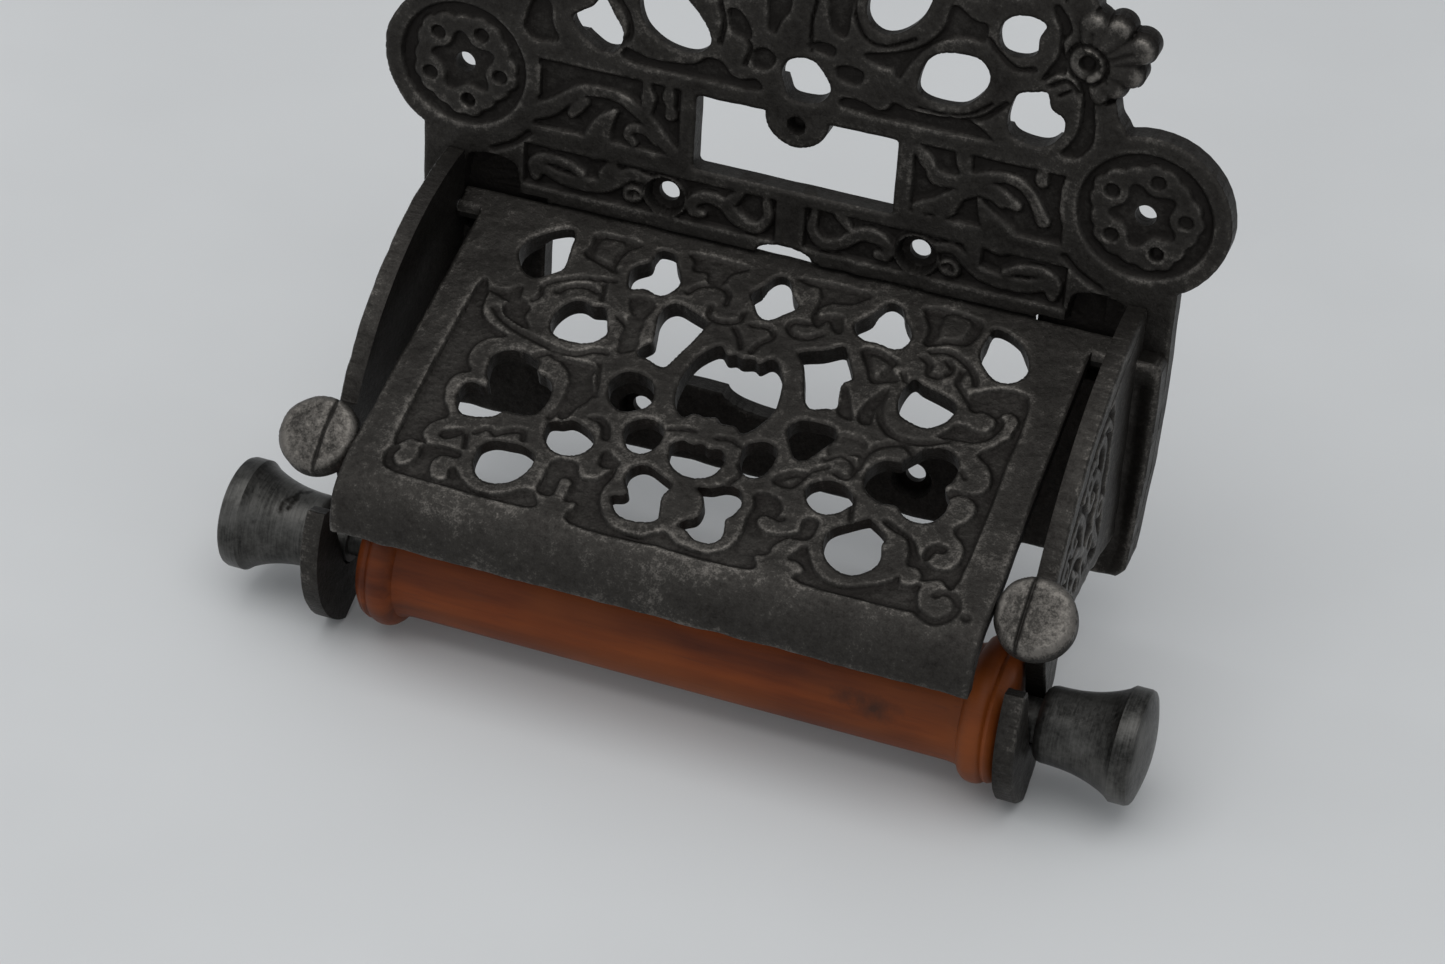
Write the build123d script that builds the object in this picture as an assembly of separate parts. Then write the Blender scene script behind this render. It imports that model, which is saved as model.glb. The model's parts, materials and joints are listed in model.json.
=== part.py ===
"""Cast-iron wall holder for a paper roll: pierced backplate, two bracket arms, hinged
openwork lid and a turned wooden roller on a knobbed spindle that sits in open jaws.

Frame: origin on the wall face, midway between the two upper screw holes. +X runs along
the roller, +Z is up, and the front of the holder faces -Y. All sizes are millimetres.
"""
from build123d import *
from math import asin, cos, radians, sin
import os

os.makedirs("parts", exist_ok=True)

# ---- driving dimensions: backplate ----
PLATE_T = 4.5
PLATE_HALF_W = 80.5
PLATE_BOTTOM_Z = -82.0
PLATE_SIDE = ((80.5, -42.0), (80.0, -56.0), (79.2, -68.0), (78.4, -79.0), (76.6, -82.0))
SHOULDER_Z = -15.2
BAR_TOP_Z = 10.0
MEDALLION_X = 72.0
MEDALLION_R = 17.5
MEDALLION_RECESS_R = 13.5
RECESS_DEPTH = 1.5
WINDOW_HALF_W = 21.3
WINDOW_TOP_Z = 4.7
WINDOW_BOTTOM_Z = -12.0
LUG_R = 6.8
LUG_HOLE_R = 1.6
LUG_HOLE_Z = 3.0
LUG_HOLE_DEPTH = 3.0
OPENING_HALF_W = 53.0
OPENING_TOP_Z = -27.4
OPENING_BOTTOM_Z = -63.5
OPENING_CORNER_R = 2.0
POCKET_INNER_X = 59.0
POCKET_OUTER_X = 71.0
POCKET_TOP_Z = -19.5
POCKET_BOTTOM_Z = -37.0
POCKET_DEPTH = 2.7
FLOWER = (57.3, 30.2)
FLOWER_BOSS_R = 4.0
FLOWER_PETAL_W = 6.4
FLOWER_PETALS = ((-57, 9.0), (-31, 8.5), (4, 9.5), (29, 13.0), (57, 11.5), (84, 11.5))
CREST_TOP_Z = 71.0
CREST_HOLLOW_DEPTH = 2.1
CREST_HOLLOW = ((57.6, 12.5), (58.4, 18.0), (52.6, 26.0), (49.8, 37.5), (44.4, 42.6), (34.0, 46.6),
                (22.4, 54.8), (11.0, 59.8), (4.6, 64.4), (0.0, 67.2))
CREST_SHOULDER = ((54, 6), (68, 12), (66.4, 17.4), (64.6, 20), (63, 24), (57, 30), (52, 28))

# ---- screws: x, z and radii of the wall-screw holes ----
UPPER_SCREWS = (MEDALLION_X, 0.0)
STRIP_SCREWS = (27.0, -20.0)
LOWER_SCREWS = (30.5, -73.0)
SCREW_HOLE_R = 2.2
SCREW_RECESS_R = 4.1
SCREW_RECESS_DEPTH = 2.0

# ---- bracket arms ----
ARM_INNER_X = 71.2
ARM_T = 4.0
ARM_OUTER_X = ARM_INNER_X + ARM_T
FOOT_DEPTH = 5.2
FOOT_TOP_Z = -29.0
FOOT_BOTTOM_Z = -81.0
BUTTON_R = 8.0
BUTTON_T = 5.4
BUTTON_X = 74.5
BUTTON_FACE = (-69.8, -51.0)
BUTTON_TILT = 38.3
BUTTON_CREASE_X = 72.6
ARM_SCREW_R = 1.5
ARM_SCREW_HEAD_R = 2.9
ARM_SCREW_X = 75.2
ARM_SCREW_Z = (-36.0, -74.0)
ARM_SCREW_LEN = 7.6

# ---- roller axis, jaws and lift direction ----
AXIS_Y, AXIS_Z = -59.0, -83.5
JOURNAL_R = 4.5
SLOT_HALF = 5.0
LIFT_LEAN = 19.1

# ---- lid ----
HINGE_Y, HINGE_Z = -6.9, -31.5
LID_SLOPE = 19.7
LID_HALF_W = 65.7
LID_T = 3.0
LID_TOP = 2.0
LID_STRAIGHT = 69.4
LID_TAIL = 5.2
TAIL_HALF_W = 52.0
EAR_TAIL = 4.0
EAR_OUTER_X = 70.9
PATTERN_Y = -1.4
SKIRT_R = 12.1
SKIRT_ANGLE = 80.0
HINGE_BAR_R = 2.0
PIN_R = 1.3
PIN_CLEARANCE = 0.06
PIN_INNER_X = 60.0
PIN_OUTER_X = 74.8
PIN_BORE_END_X = 75.0

# ---- roller, spindle and knobs ----
WOOD_HALF_L = 67.7
WOOD_SHIFT_X = 2.8
JOURNAL_START_X = 70.9
WOOD_R = 12.0
RING_R = 15.0
ROD_R = 3.0
ROD_CLEARANCE = 0.06
ROD_HALF_L = 88.0
KNOB_START_X = 76.2
KNOB_END_X = 98.4
KNOB_NECK_R = 7.5
KNOB_RIM_R = 11.6


def direction(angle):
    """Unit vector at an angle in degrees, as a pair."""
    return cos(radians(angle)), sin(radians(angle))


def plate_prism(sketch_faces, depth, start=0.0):
    """Extrude a sketch drawn in x, z towards the front by depth, from y = -start."""
    return Pos(0, -start, 0) * extrude(Plane.XZ * sketch_faces, amount=depth)


def both_sides(maker):
    """Sum of maker(+1) and maker(-1)."""
    return maker(1) + maker(-1)


def petal(centre, angle, length, width):
    """A rounded petal that runs from centre at an angle."""
    reach = length - width / 2
    dx, dz = direction(angle)
    middle = Pos(centre[0] + dx * reach / 2, centre[1] + dz * reach / 2)
    return middle * Rot(0, 0, angle) * SlotCenterToCenter(reach, width)


def crest_outline():
    """The rising crest between the flower finials, with its central finial."""
    right = [(60, 8), (62.5, 19), (56, 27), (53, 40), (46, 46), (35, 50), (24, 58), (12, 63)]
    left = [(-x, z) for x, z in reversed(right)]
    edge = Polyline(*right[:2]) + Spline(*right[1:], tangents=[(-0.9, 1), (-1, 0.25)])
    mirrored = Polyline(*left[-2:]) + Spline(*left[:-1], tangents=[(-1, -0.25), (-0.9, -1)])
    top = Spline(right[-1], (6, CREST_TOP_Z - 3), (0, CREST_TOP_Z), (-6, CREST_TOP_Z - 3), left[0])
    base = Line(left[-1], right[0])
    return make_face(edge + top + mirrored + base)


def flower(side):
    """Flower finial: a boss with six petals."""
    cx, cz = FLOWER[0] * side, FLOWER[1]
    shape = Pos(cx, cz) * Circle(FLOWER_BOSS_R)
    for angle, length in FLOWER_PETALS:
        turned = angle if side > 0 else 180 - angle
        shape += petal((cx, cz), turned, length, FLOWER_PETAL_W)
    return shape


def crest_holes():
    """Pierced openings of the crest. The two lowest pairs differ from left to right."""
    holes = Pos(0, 13.5) * Ellipse(4.8, 4.3)
    holes += Pos(0, 49) * Ellipse(3.6, 6.0)
    holes += Pos(31.5, 21.0) * Rot(0, 0, 8) * Ellipse(7.0, 5.2)
    holes += Pos(-26.8, 20.4) * Rot(0, 0, -38) * Ellipse(8.4, 5.6)
    holes += Pos(48.4, 15.8) * Ellipse(5.4, 5.2)
    holes += Pos(-43.0, 15.8) * Ellipse(5.0, 5.9)
    for side in (1, -1):
        holes += Pos(44.4 * side, 33.5) * Ellipse(4.4, 3.9)
        holes += Pos(19.5 * side, 37) * Rot(0, 0, 52 * side) * Ellipse(10.0, 5.4)
        holes += Pos(10 * side, 56) * Rot(0, 0, -40 * side) * Ellipse(3.6, 2.2)
    return holes


def window_face():
    """Rectangular window with a half-round lug hanging from its top edge."""
    height = WINDOW_TOP_Z - WINDOW_BOTTOM_Z
    window = Pos(0, (WINDOW_TOP_Z + WINDOW_BOTTOM_Z) / 2) * RectangleRounded(2 * WINDOW_HALF_W, height, 0.8)
    return window - Pos(0, WINDOW_TOP_Z) * Circle(LUG_R)


def lower_opening():
    """Large opening under the strip, with an arched notch above and a dip below."""
    height = OPENING_TOP_Z - OPENING_BOTTOM_Z
    middle = (OPENING_TOP_Z + OPENING_BOTTOM_Z) / 2
    opening = Pos(0, middle) * RectangleRounded(2 * OPENING_HALF_W, height, OPENING_CORNER_R)
    opening += Pos(0, OPENING_TOP_Z) * Ellipse(7.0, 2.6)
    opening += Pos(0, OPENING_BOTTOM_Z) * Ellipse(12.0, 3.4)
    return opening


def pocket(side):
    """Recess beside the large opening, where the ear of the lid turns."""
    height = POCKET_TOP_Z - POCKET_BOTTOM_Z
    middle_z = (POCKET_TOP_Z + POCKET_BOTTOM_Z) / 2
    middle_x = (POCKET_INNER_X + POCKET_OUTER_X) / 2
    shape = Pos(middle_x * side, middle_z) * RectangleRounded(POCKET_OUTER_X - POCKET_INNER_X, height, 2.5)
    low_h = OPENING_TOP_Z - POCKET_BOTTOM_Z
    low_inner = OPENING_HALF_W - OPENING_CORNER_R
    low_w = POCKET_OUTER_X - low_inner
    low_x = (POCKET_OUTER_X + low_inner) / 2
    return shape + Pos(low_x * side, POCKET_BOTTOM_Z + low_h / 2) * Rectangle(low_w, low_h)


def closed_face(points):
    """Flat face, turned up, inside straight edges through the points."""
    face = make_face(Polyline(*points, points[0])).face()
    return Sketch() + (face if face.normal_at().Z > 0 else -face)


def plate_body():
    """The plate below the medallions, a little narrower towards its bottom."""
    right = [(PLATE_HALF_W, SHOULDER_Z), *PLATE_SIDE]
    return closed_face(right + [(-x, z) for x, z in reversed(right)])


def crest_hollow():
    """Shallow hollow in the back of the crest, which leaves a rim round its edge."""
    return closed_face([*CREST_HOLLOW, *[(-x, z) for x, z in reversed(CREST_HOLLOW[:-1])]])


def make_backplate():
    outline = plate_body()
    outline += Pos(0, (SHOULDER_Z + BAR_TOP_Z) / 2) * Rectangle(124, BAR_TOP_Z - SHOULDER_Z + 2)
    outline += both_sides(lambda side: closed_face([(x * side, z) for x, z in CREST_SHOULDER]))
    outline += both_sides(lambda side: Pos(MEDALLION_X * side, 0) * Circle(MEDALLION_R))
    outline += crest_outline()
    outline += both_sides(flower)
    plate = plate_prism(outline - window_face() - lower_opening() - crest_holes(), PLATE_T)
    plate -= plate_prism(crest_hollow(), CREST_HOLLOW_DEPTH + 1, -1)
    plate -= plate_prism(Pos(0, LUG_HOLE_Z) * Circle(LUG_HOLE_R), LUG_HOLE_DEPTH + 1, PLATE_T - LUG_HOLE_DEPTH)
    cut_from = PLATE_T - RECESS_DEPTH
    for side in (1, -1):
        recess = Pos(MEDALLION_X * side, 0) * Circle(MEDALLION_RECESS_R)
        plate -= plate_prism(recess, RECESS_DEPTH + 1, cut_from)
        plate -= plate_prism(pocket(side), POCKET_DEPTH + 1, PLATE_T - POCKET_DEPTH)
        plate -= plate_prism(Pos(FLOWER[0] * side, FLOWER[1]) * Circle(1.4), 2.0, PLATE_T - 1.5)
        for x, z in (STRIP_SCREWS, LOWER_SCREWS):
            seat = Pos(x * side, z) * Circle(SCREW_RECESS_R)
            plate -= plate_prism(seat, SCREW_RECESS_DEPTH + 1, PLATE_T - SCREW_RECESS_DEPTH)
        for x, z in (UPPER_SCREWS, STRIP_SCREWS, LOWER_SCREWS):
            plate -= plate_prism(Pos(x * side, z) * Circle(SCREW_HOLE_R), PLATE_T + 2, -1)
        for z in ARM_SCREW_Z:
            plate -= arm_screw(side, z)
    return plate


def along_x(profile_r, x0, x1, y, z):
    """Cylinder along X from x0 to x1."""
    low, high = sorted((x0, x1))
    return Pos((low + high) / 2, y, z) * Rot(0, 90, 0) * Cylinder(profile_r, high - low)


def arm_screw(side, z):
    """Countersunk screw put in from the back of the plate."""
    radius, head = ARM_SCREW_R, ARM_SCREW_HEAD_R
    cone = head - radius
    outline = Polyline((0, 0), (head, 0), (radius, cone), (radius, ARM_SCREW_LEN), (0, ARM_SCREW_LEN), (0, 0))
    turned = revolve(Plane.XZ * make_face(outline), Axis.Z)
    return Pos(ARM_SCREW_X * side, 0, z) * Rot(90, 0, 0) * turned


def lift_vector():
    """Direction in y, z along which the spindle lifts in its slots."""
    return -sin(radians(LIFT_LEAN)), cos(radians(LIFT_LEAN))


def arm_outline():
    """Side outline of an arm in y, z: curved rail, jaw with its slot, hook and web."""
    up_y, up_z = lift_vector()
    back_y, back_z = up_z, -up_y

    def slot_point(across, along):
        return (AXIS_Y + back_y * across + up_y * along, AXIS_Z + back_z * across + up_z * along)

    rear_top = slot_point(SLOT_HALF, 23.0)
    rear_seat = slot_point(SLOT_HALF, 0)
    seat = slot_point(0, -SLOT_HALF)
    front_seat = slot_point(-SLOT_HALF, 0)
    lip_inner = slot_point(-SLOT_HALF, 16.4)
    lip_outer = (-72.3, -68.9)
    hook_front, hook_low = (-76.0, -81.7), (-62.5, -100.8)
    root_top, root_low = (-PLATE_T, -19.5), (-PLATE_T, -72.0)
    rail_end, under_rear, under_front = (-57.0, -51.5), (-61.0, -49.6), (-70.0, -56.7)
    edges = [
        ThreePointArc(root_top, (-32.0, -27.4), rail_end),
        Polyline(rail_end, under_rear, under_front, (-68.6, -60.6), rear_top, rear_seat),
        ThreePointArc(rear_seat, seat, front_seat),
        Polyline(front_seat, lip_inner, lip_outer),
        ThreePointArc(lip_outer, hook_front, hook_low),
        Spline(hook_low, (-54.8, -96.0), (-50.5, -87.0), (-45.0, -74.5), (-34.0, -68.2), root_low),
        Line(root_low, root_top),
    ]
    return make_face(edges)


def make_button(side):
    """Round two-lobed button on the tip of the arm, facing up and forward."""
    disc = Pos(0, 0, -BUTTON_T / 2) * Cylinder(BUTTON_R, BUTTON_T)
    disc = fillet(disc.edges().filter_by(GeomType.CIRCLE), 1.2)
    crease_x = (BUTTON_CREASE_X - BUTTON_X) * side
    disc -= Pos(crease_x, 0, 0) * Box(0.8, 4 * BUTTON_R, 2.4)
    return Pos(BUTTON_X * side, *BUTTON_FACE) * Rot(BUTTON_TILT, 0, 0) * disc


def make_arm(side):
    start = ARM_INNER_X if side > 0 else -ARM_OUTER_X
    arm = Pos(start, 0, 0) * extrude(Plane.YZ * arm_outline(), amount=ARM_T)
    outer = [(PLATE_HALF_W - 2, FOOT_TOP_Z), (PLATE_HALF_W, FOOT_TOP_Z - 2)]
    outer += [*PLATE_SIDE[:-1], (PLATE_SIDE[-1][0], FOOT_BOTTOM_Z)]
    outer += [(ARM_INNER_X, FOOT_BOTTOM_Z), (ARM_INNER_X, FOOT_TOP_Z)]
    foot = closed_face([(x * side, z) for x, z in outer])
    arm += plate_prism(foot, FOOT_DEPTH, PLATE_T)
    arm += make_button(side)
    bore_r = PIN_R + PIN_CLEARANCE
    arm -= along_x(bore_r, (ARM_INNER_X - 1) * side, PIN_BORE_END_X * side, HINGE_Y, HINGE_Z)
    for z in ARM_SCREW_Z:
        arm -= arm_screw(side, z)
    return arm


def lid_place(shape):
    """Put a shape drawn about the hinge axis, with the lid flat, into its rest place."""
    return Pos(0, HINGE_Y, HINGE_Z) * Rot(LID_SLOPE, 0, 0) * shape


def trefoil(side):
    """Three overlapping round lobes."""
    lobes = Pos(45 * side, -36.6) * Circle(5.2)
    lobes += Pos(38.6 * side, -42.2) * Circle(5.2)
    lobes += Pos(46.4 * side, -45.0) * Circle(4.8)
    return lobes


def hourglass(side):
    """Narrow-waisted opening beside the lid's centre line."""
    waist = Polyline((-5, 6), (5, 6), (3.4, 0), (4.8, -6), (-4.6, -6), (-2.6, 0), (-5, 6))
    shape = fillet(make_face(waist).vertices(), 1.2)
    return Pos(7.7 * side, -59.0) * (shape if side > 0 else mirror(shape, Plane.YZ))


def quad(side):
    """Leaning four-sided opening above the large central one."""
    corners = [(10.6 * side, -15.5), (16.6 * side, -12.0), (21.6 * side, -17.5)]
    corners += [(19.6 * side, -27.0), (15.0 * side, -28.2)]
    return fillet(make_face(Polyline(*corners, corners[0])).vertices(), 1.0)


def lid_holes():
    """The pierced openings, laid out in x and in y from the front edge of the lid's rear border."""
    middle = Pos(0, -29.0) * Ellipse(9.8, 10.4)
    middle -= both_sides(lambda side: Pos(3.0 * side, -18.6) * Circle(2.6))
    holes = middle + Pos(0, -5.0) * Rot(0, 0, 45) * RectangleRounded(7.4, 7.4, 1.2)
    holes += both_sides(lambda side: Pos(2.9 * side, -46.2) * Circle(3.3)) + Pos(0, -48.6) * Circle(3.4)
    for side in (1, -1):
        holes += Pos(24.6 * side, -6.4) * Ellipse(5.6, 3.6) + Pos(24.6 * side, -3.6) * Circle(3.2)
        holes += Pos(49.6 * side, -6.0) * Ellipse(5.0, 6.2)
        holes += Pos(37.0 * side, -21.6) * Ellipse(5.6, 5.3)
        holes += Pos(18.5 * side, -35.6) * Ellipse(4.8, 5.1)
        holes += Pos(26.6 * side, -49.0) * Ellipse(5.2, 4.2)
        holes += Pos(11.8 * side, -44.6) * Ellipse(3.9, 4.4)
        holes += Pos(36.8 * side, -59.2) * Circle(6.0)
        holes += trefoil(side) + hourglass(side) + quad(side)
    return holes


def lid_slab(half_w, front, rear):
    """Slab of the lid's thickness from front to rear of the hinge axis."""
    middle = Pos(0, (front + rear) / 2, LID_TOP - LID_T / 2)
    return middle * Box(2 * half_w, rear - front, LID_T)


def make_lid():
    bottom = LID_TOP - LID_T
    slab = lid_slab(LID_HALF_W, -LID_STRAIGHT, EAR_TAIL) + lid_slab(TAIL_HALF_W, 0, LID_TAIL)
    slab += lid_slab(EAR_OUTER_X, -HINGE_BAR_R, EAR_TAIL)
    slab -= Pos(0, PATTERN_Y, bottom - 1) * extrude(lid_holes(), amount=LID_T + 2)
    centre = (-LID_STRAIGHT, LID_TOP - SKIRT_R)
    ring = Pos(*centre) * (Circle(SKIRT_R) - Circle(SKIRT_R - LID_T))
    corners = [direction(90), direction(90 + SKIRT_ANGLE / 2), direction(90 + SKIRT_ANGLE)]
    reach = 3 * SKIRT_R
    wedge = Polyline(centre, *[(centre[0] + x * reach, centre[1] + z * reach) for x, z in corners], centre)
    skirt = Pos(-LID_HALF_W, 0, 0) * extrude(Plane.YZ * (ring & make_face(wedge)), amount=2 * LID_HALF_W)
    lid = slab + skirt
    for side in (1, -1):
        lid += along_x(HINGE_BAR_R, TAIL_HALF_W * side, EAR_OUTER_X * side, 0, 0)
        lid -= along_x(PIN_R, PIN_INNER_X * side, (EAR_OUTER_X + 1) * side, 0, 0)
    return lid_place(lid)


def make_hinge_pin(side):
    return along_x(PIN_R, PIN_INNER_X * side, PIN_OUTER_X * side, HINGE_Y, HINGE_Z)


def turned_about_axis(outline):
    """Revolve a closed outline of (x, radius) about the roller's axis."""
    return Pos(0, AXIS_Y, AXIS_Z) * revolve(make_face(outline), Axis.X)


def make_roller():
    """Wooden roller: plain barrel, with a bead and a cove before each end. It has end play
    between the journals and lies against the right one."""
    half, bore = WOOD_HALF_L, ROD_R + ROD_CLEARANCE
    outline = [Polyline((-half, bore), (half, bore), (half, RING_R - 1.5))]
    outline += [ThreePointArc((half, RING_R - 1.5), (half - 3, RING_R), (half - 6, RING_R - 1.2))]
    outline += [ThreePointArc((half - 6, RING_R - 1.2), (half - 8, RING_R - 0.9), (half - 10, RING_R - 1.4))]
    outline += [ThreePointArc((half - 10, RING_R - 1.4), (half - 11, WOOD_R + 0.5), (half - 13, WOOD_R))]
    mirrored = [mirror(edge, Plane.YZ) for edge in outline[1:]]
    end = Line((-half, bore), (-half, RING_R - 1.5))
    barrel = Line((half - 13, WOOD_R), (13 - half, WOOD_R))
    return Pos(WOOD_SHIFT_X, 0, 0) * turned_about_axis(outline + [barrel, end] + mirrored)


def make_knob(side):
    """Knob with its journal: the neck flares to a rim with a domed end."""
    journal_start = JOURNAL_START_X
    bore_end = ROD_HALF_L + 0.5
    rim_start, rim_end = 92.0, 96.2
    dome_h = KNOB_END_X - rim_end
    dome_r = (KNOB_RIM_R**2 + dome_h**2) / (2 * dome_h)
    half_angle = asin(KNOB_RIM_R / dome_r) / 2
    dome_middle = (KNOB_END_X - dome_r * (1 - cos(half_angle)), dome_r * sin(half_angle))
    outline = [
        Polyline((journal_start, ROD_R), (journal_start, JOURNAL_R), (KNOB_START_X, JOURNAL_R)),
        Line((KNOB_START_X, JOURNAL_R), (KNOB_START_X, KNOB_NECK_R)),
        ThreePointArc((KNOB_START_X, KNOB_NECK_R), (86.0, 8.4), (rim_start, KNOB_RIM_R - 0.4)),
        Polyline((rim_start, KNOB_RIM_R - 0.4), (rim_start + 0.5, KNOB_RIM_R), (rim_end, KNOB_RIM_R)),
        ThreePointArc((rim_end, KNOB_RIM_R), dome_middle, (KNOB_END_X, 0)),
        Polyline((KNOB_END_X, 0), (bore_end, 0), (bore_end, ROD_R), (journal_start, ROD_R)),
    ]
    if side < 0:
        outline = [mirror(edge, Plane.YZ) for edge in outline]
    return turned_about_axis(outline)


def make_spindle():
    return along_x(ROD_R, -ROD_HALF_L, ROD_HALF_L, AXIS_Y, AXIS_Z)


def make_arm_screws():
    return Compound([arm_screw(side, z) for side in (1, -1) for z in ARM_SCREW_Z])


NODES = {
    "backplate": make_backplate(),
    "arm_left": make_arm(-1),
    "arm_right": make_arm(1),
    "arm_screws": make_arm_screws(),
    "lid": make_lid(),
    "hinge_pin_left": make_hinge_pin(-1),
    "hinge_pin_right": make_hinge_pin(1),
    "roller": make_roller(),
    "spindle": make_spindle(),
    "knob_left": make_knob(-1),
    "knob_right": make_knob(1),
}

for name, shape in NODES.items():
    export_step(shape, f"parts/{name}.step")
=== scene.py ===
"""Looks of the cast-iron wall holder for a paper roll.

Each casting is a sheet of metal over a fine grid. Its outline and openings come from signed distances. Its
ornament is relief: either strokes, rims and bosses stand in a sunk ground, or pockets and cuts are let into
the face. Lengths are millimetres until a mesh is made, in the part's own frame.
"""

import json
from functools import cache
from math import atan2, cos, pi, radians, sin

import bpy
import numpy as np
from mathutils import Matrix, Vector


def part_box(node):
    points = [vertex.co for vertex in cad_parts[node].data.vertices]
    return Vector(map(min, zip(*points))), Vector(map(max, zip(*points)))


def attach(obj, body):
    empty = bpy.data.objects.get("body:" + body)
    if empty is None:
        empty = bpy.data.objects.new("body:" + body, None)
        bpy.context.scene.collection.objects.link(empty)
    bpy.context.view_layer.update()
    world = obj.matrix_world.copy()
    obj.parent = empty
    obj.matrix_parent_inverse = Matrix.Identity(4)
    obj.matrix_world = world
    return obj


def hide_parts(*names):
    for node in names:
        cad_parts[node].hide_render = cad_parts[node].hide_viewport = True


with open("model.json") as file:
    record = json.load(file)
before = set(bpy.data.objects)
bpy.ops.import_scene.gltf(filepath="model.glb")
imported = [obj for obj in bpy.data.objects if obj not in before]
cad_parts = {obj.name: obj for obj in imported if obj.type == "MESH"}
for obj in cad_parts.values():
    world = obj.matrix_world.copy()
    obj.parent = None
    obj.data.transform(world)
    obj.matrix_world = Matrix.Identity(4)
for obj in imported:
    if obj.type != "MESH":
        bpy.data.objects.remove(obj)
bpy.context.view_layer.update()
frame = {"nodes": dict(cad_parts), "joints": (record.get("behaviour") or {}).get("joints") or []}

MM = 0.001
FAR = 1e3
GRID = 0.35
TRIANGLE_BUDGET = 190_000
SHARP_ANGLE, TURNED_SHARP_ANGLE = 38, 32
# Values of the painted crease shade and wear, and of the sunk ground, given to the backs and walls of sheets
# and to turned pieces.
BACK_SHADE_AND_WEAR, BACK_GROUND = 0.4, 0.5
TURNED_SHADE_AND_WEAR, TURNED_GROUND = 0.5, 0.3
RNG = np.random.default_rng(11)


# ---------------------------------------------------------------- places read from the frame
def box_mm(node):
    low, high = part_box(node)
    return np.array(low) / MM, np.array(high) / MM


def joint_mm(name):
    joint = next(j for j in frame["joints"] if j["name"] == name)
    return np.array(joint["pos_m"]) / MM


PLATE_LOW, PLATE_HIGH = box_mm("backplate")
PLATE_T = -PLATE_LOW[1]
PLATE_HALF_W = 80.5
PLATE_SIDE = [(80.5, -42.0), (80.0, -56.0), (79.2, -68.0), (78.4, -79.0), (76.6, -82.0)]
MEDALLION_R = 17.5
MEDALLION_X = PLATE_HIGH[0] - MEDALLION_R
ARM_INNER_X = box_mm("arm_right")[0][0] + 4.7
HINGE = joint_mm("lid_hinge")
AXIS = joint_mm("roller_spin")
ROLLER_LOW, ROLLER_HIGH = box_mm("roller")
KNOB_LOW, KNOB_HIGH = box_mm("knob_right")


# ---------------------------------------------------------------- curves and distances
def direction(degrees):
    return np.array([cos(radians(degrees)), sin(radians(degrees))])


def smooth(points, closed=False, per=7):
    """Catmull-Rom curve through the points."""
    p = np.asarray(points, float)
    if closed:
        p = np.vstack([p[-1], p, p[:2]])
    else:
        p = np.vstack([2 * p[0] - p[1], p, 2 * p[-1] - p[-2]])
    t = np.linspace(0, 1, per, endpoint=False)[:, None]
    made = []
    for a, b, c, d in zip(p, p[1:], p[2:], p[3:]):
        square, cube = 2 * a - 5 * b + 4 * c - d, 3 * b - a - 3 * c + d
        made.append(0.5 * (2 * b + (c - a) * t + square * t**2 + cube * t**3))
    made = np.vstack(made)
    return made if closed else np.vstack([made, p[-2]])


def arc_through(a, b, c, count=14):
    """Points along the circle arc from a by b to c."""
    a, b, c = (np.asarray(q, float) for q in (a, b, c))
    m = 2 * np.array([b - a, c - a])
    centre = np.linalg.solve(m, [b @ b - a @ a, c @ c - a @ a])
    angles = [atan2(*(q - centre)[::-1]) for q in (a, b, c)]
    turn = (angles[2] - angles[0]) % (2 * pi)
    if (angles[1] - angles[0]) % (2 * pi) > turn:
        turn -= 2 * pi
    radius = np.linalg.norm(a - centre)
    at = angles[0] + np.linspace(0, turn, count)
    return centre + radius * np.column_stack([np.cos(at), np.sin(at)])


def ellipse(centre, a, b):
    angles = np.linspace(0, 2 * pi, 40, endpoint=False)
    return np.column_stack([centre[0] + a * np.cos(angles), centre[1] + b * np.sin(angles)])


def rectangle(u0, u1, v0, v1):
    return np.array([(u0, v0), (u1, v0), (u1, v1), (u0, v1)], float)


def circle(centre, radius):
    return ellipse(centre, radius, radius)


def block(side, near, far, v0, v1):
    """Rectangle on one side of the middle, from near it to far from it."""
    return rectangle(*sorted((near * side, far * side)), v0, v1)


def mirrored(points):
    return np.asarray(points, float)[::-1] * (-1, 1)


def blur(a, cells):
    """Gaussian blur, sized in grid cells, with the edge values carried on."""
    reach = int(3 * cells) + 1
    weights = np.exp(-0.5 * (np.arange(-reach, reach + 1) / cells) ** 2)
    weights /= weights.sum()
    for axis in (0, 1):
        padded = np.pad(a, [(reach, reach) if k == axis else (0, 0) for k in (0, 1)], mode="edge")
        size = a.shape[axis]
        a = sum(w * np.take(padded, range(k, k + size), axis) for k, w in enumerate(weights))
    return a


def step_up(x):
    """Smooth step from 0 to 1."""
    x = np.clip(x, 0, 1)
    return x * x * (3 - 2 * x)


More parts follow.
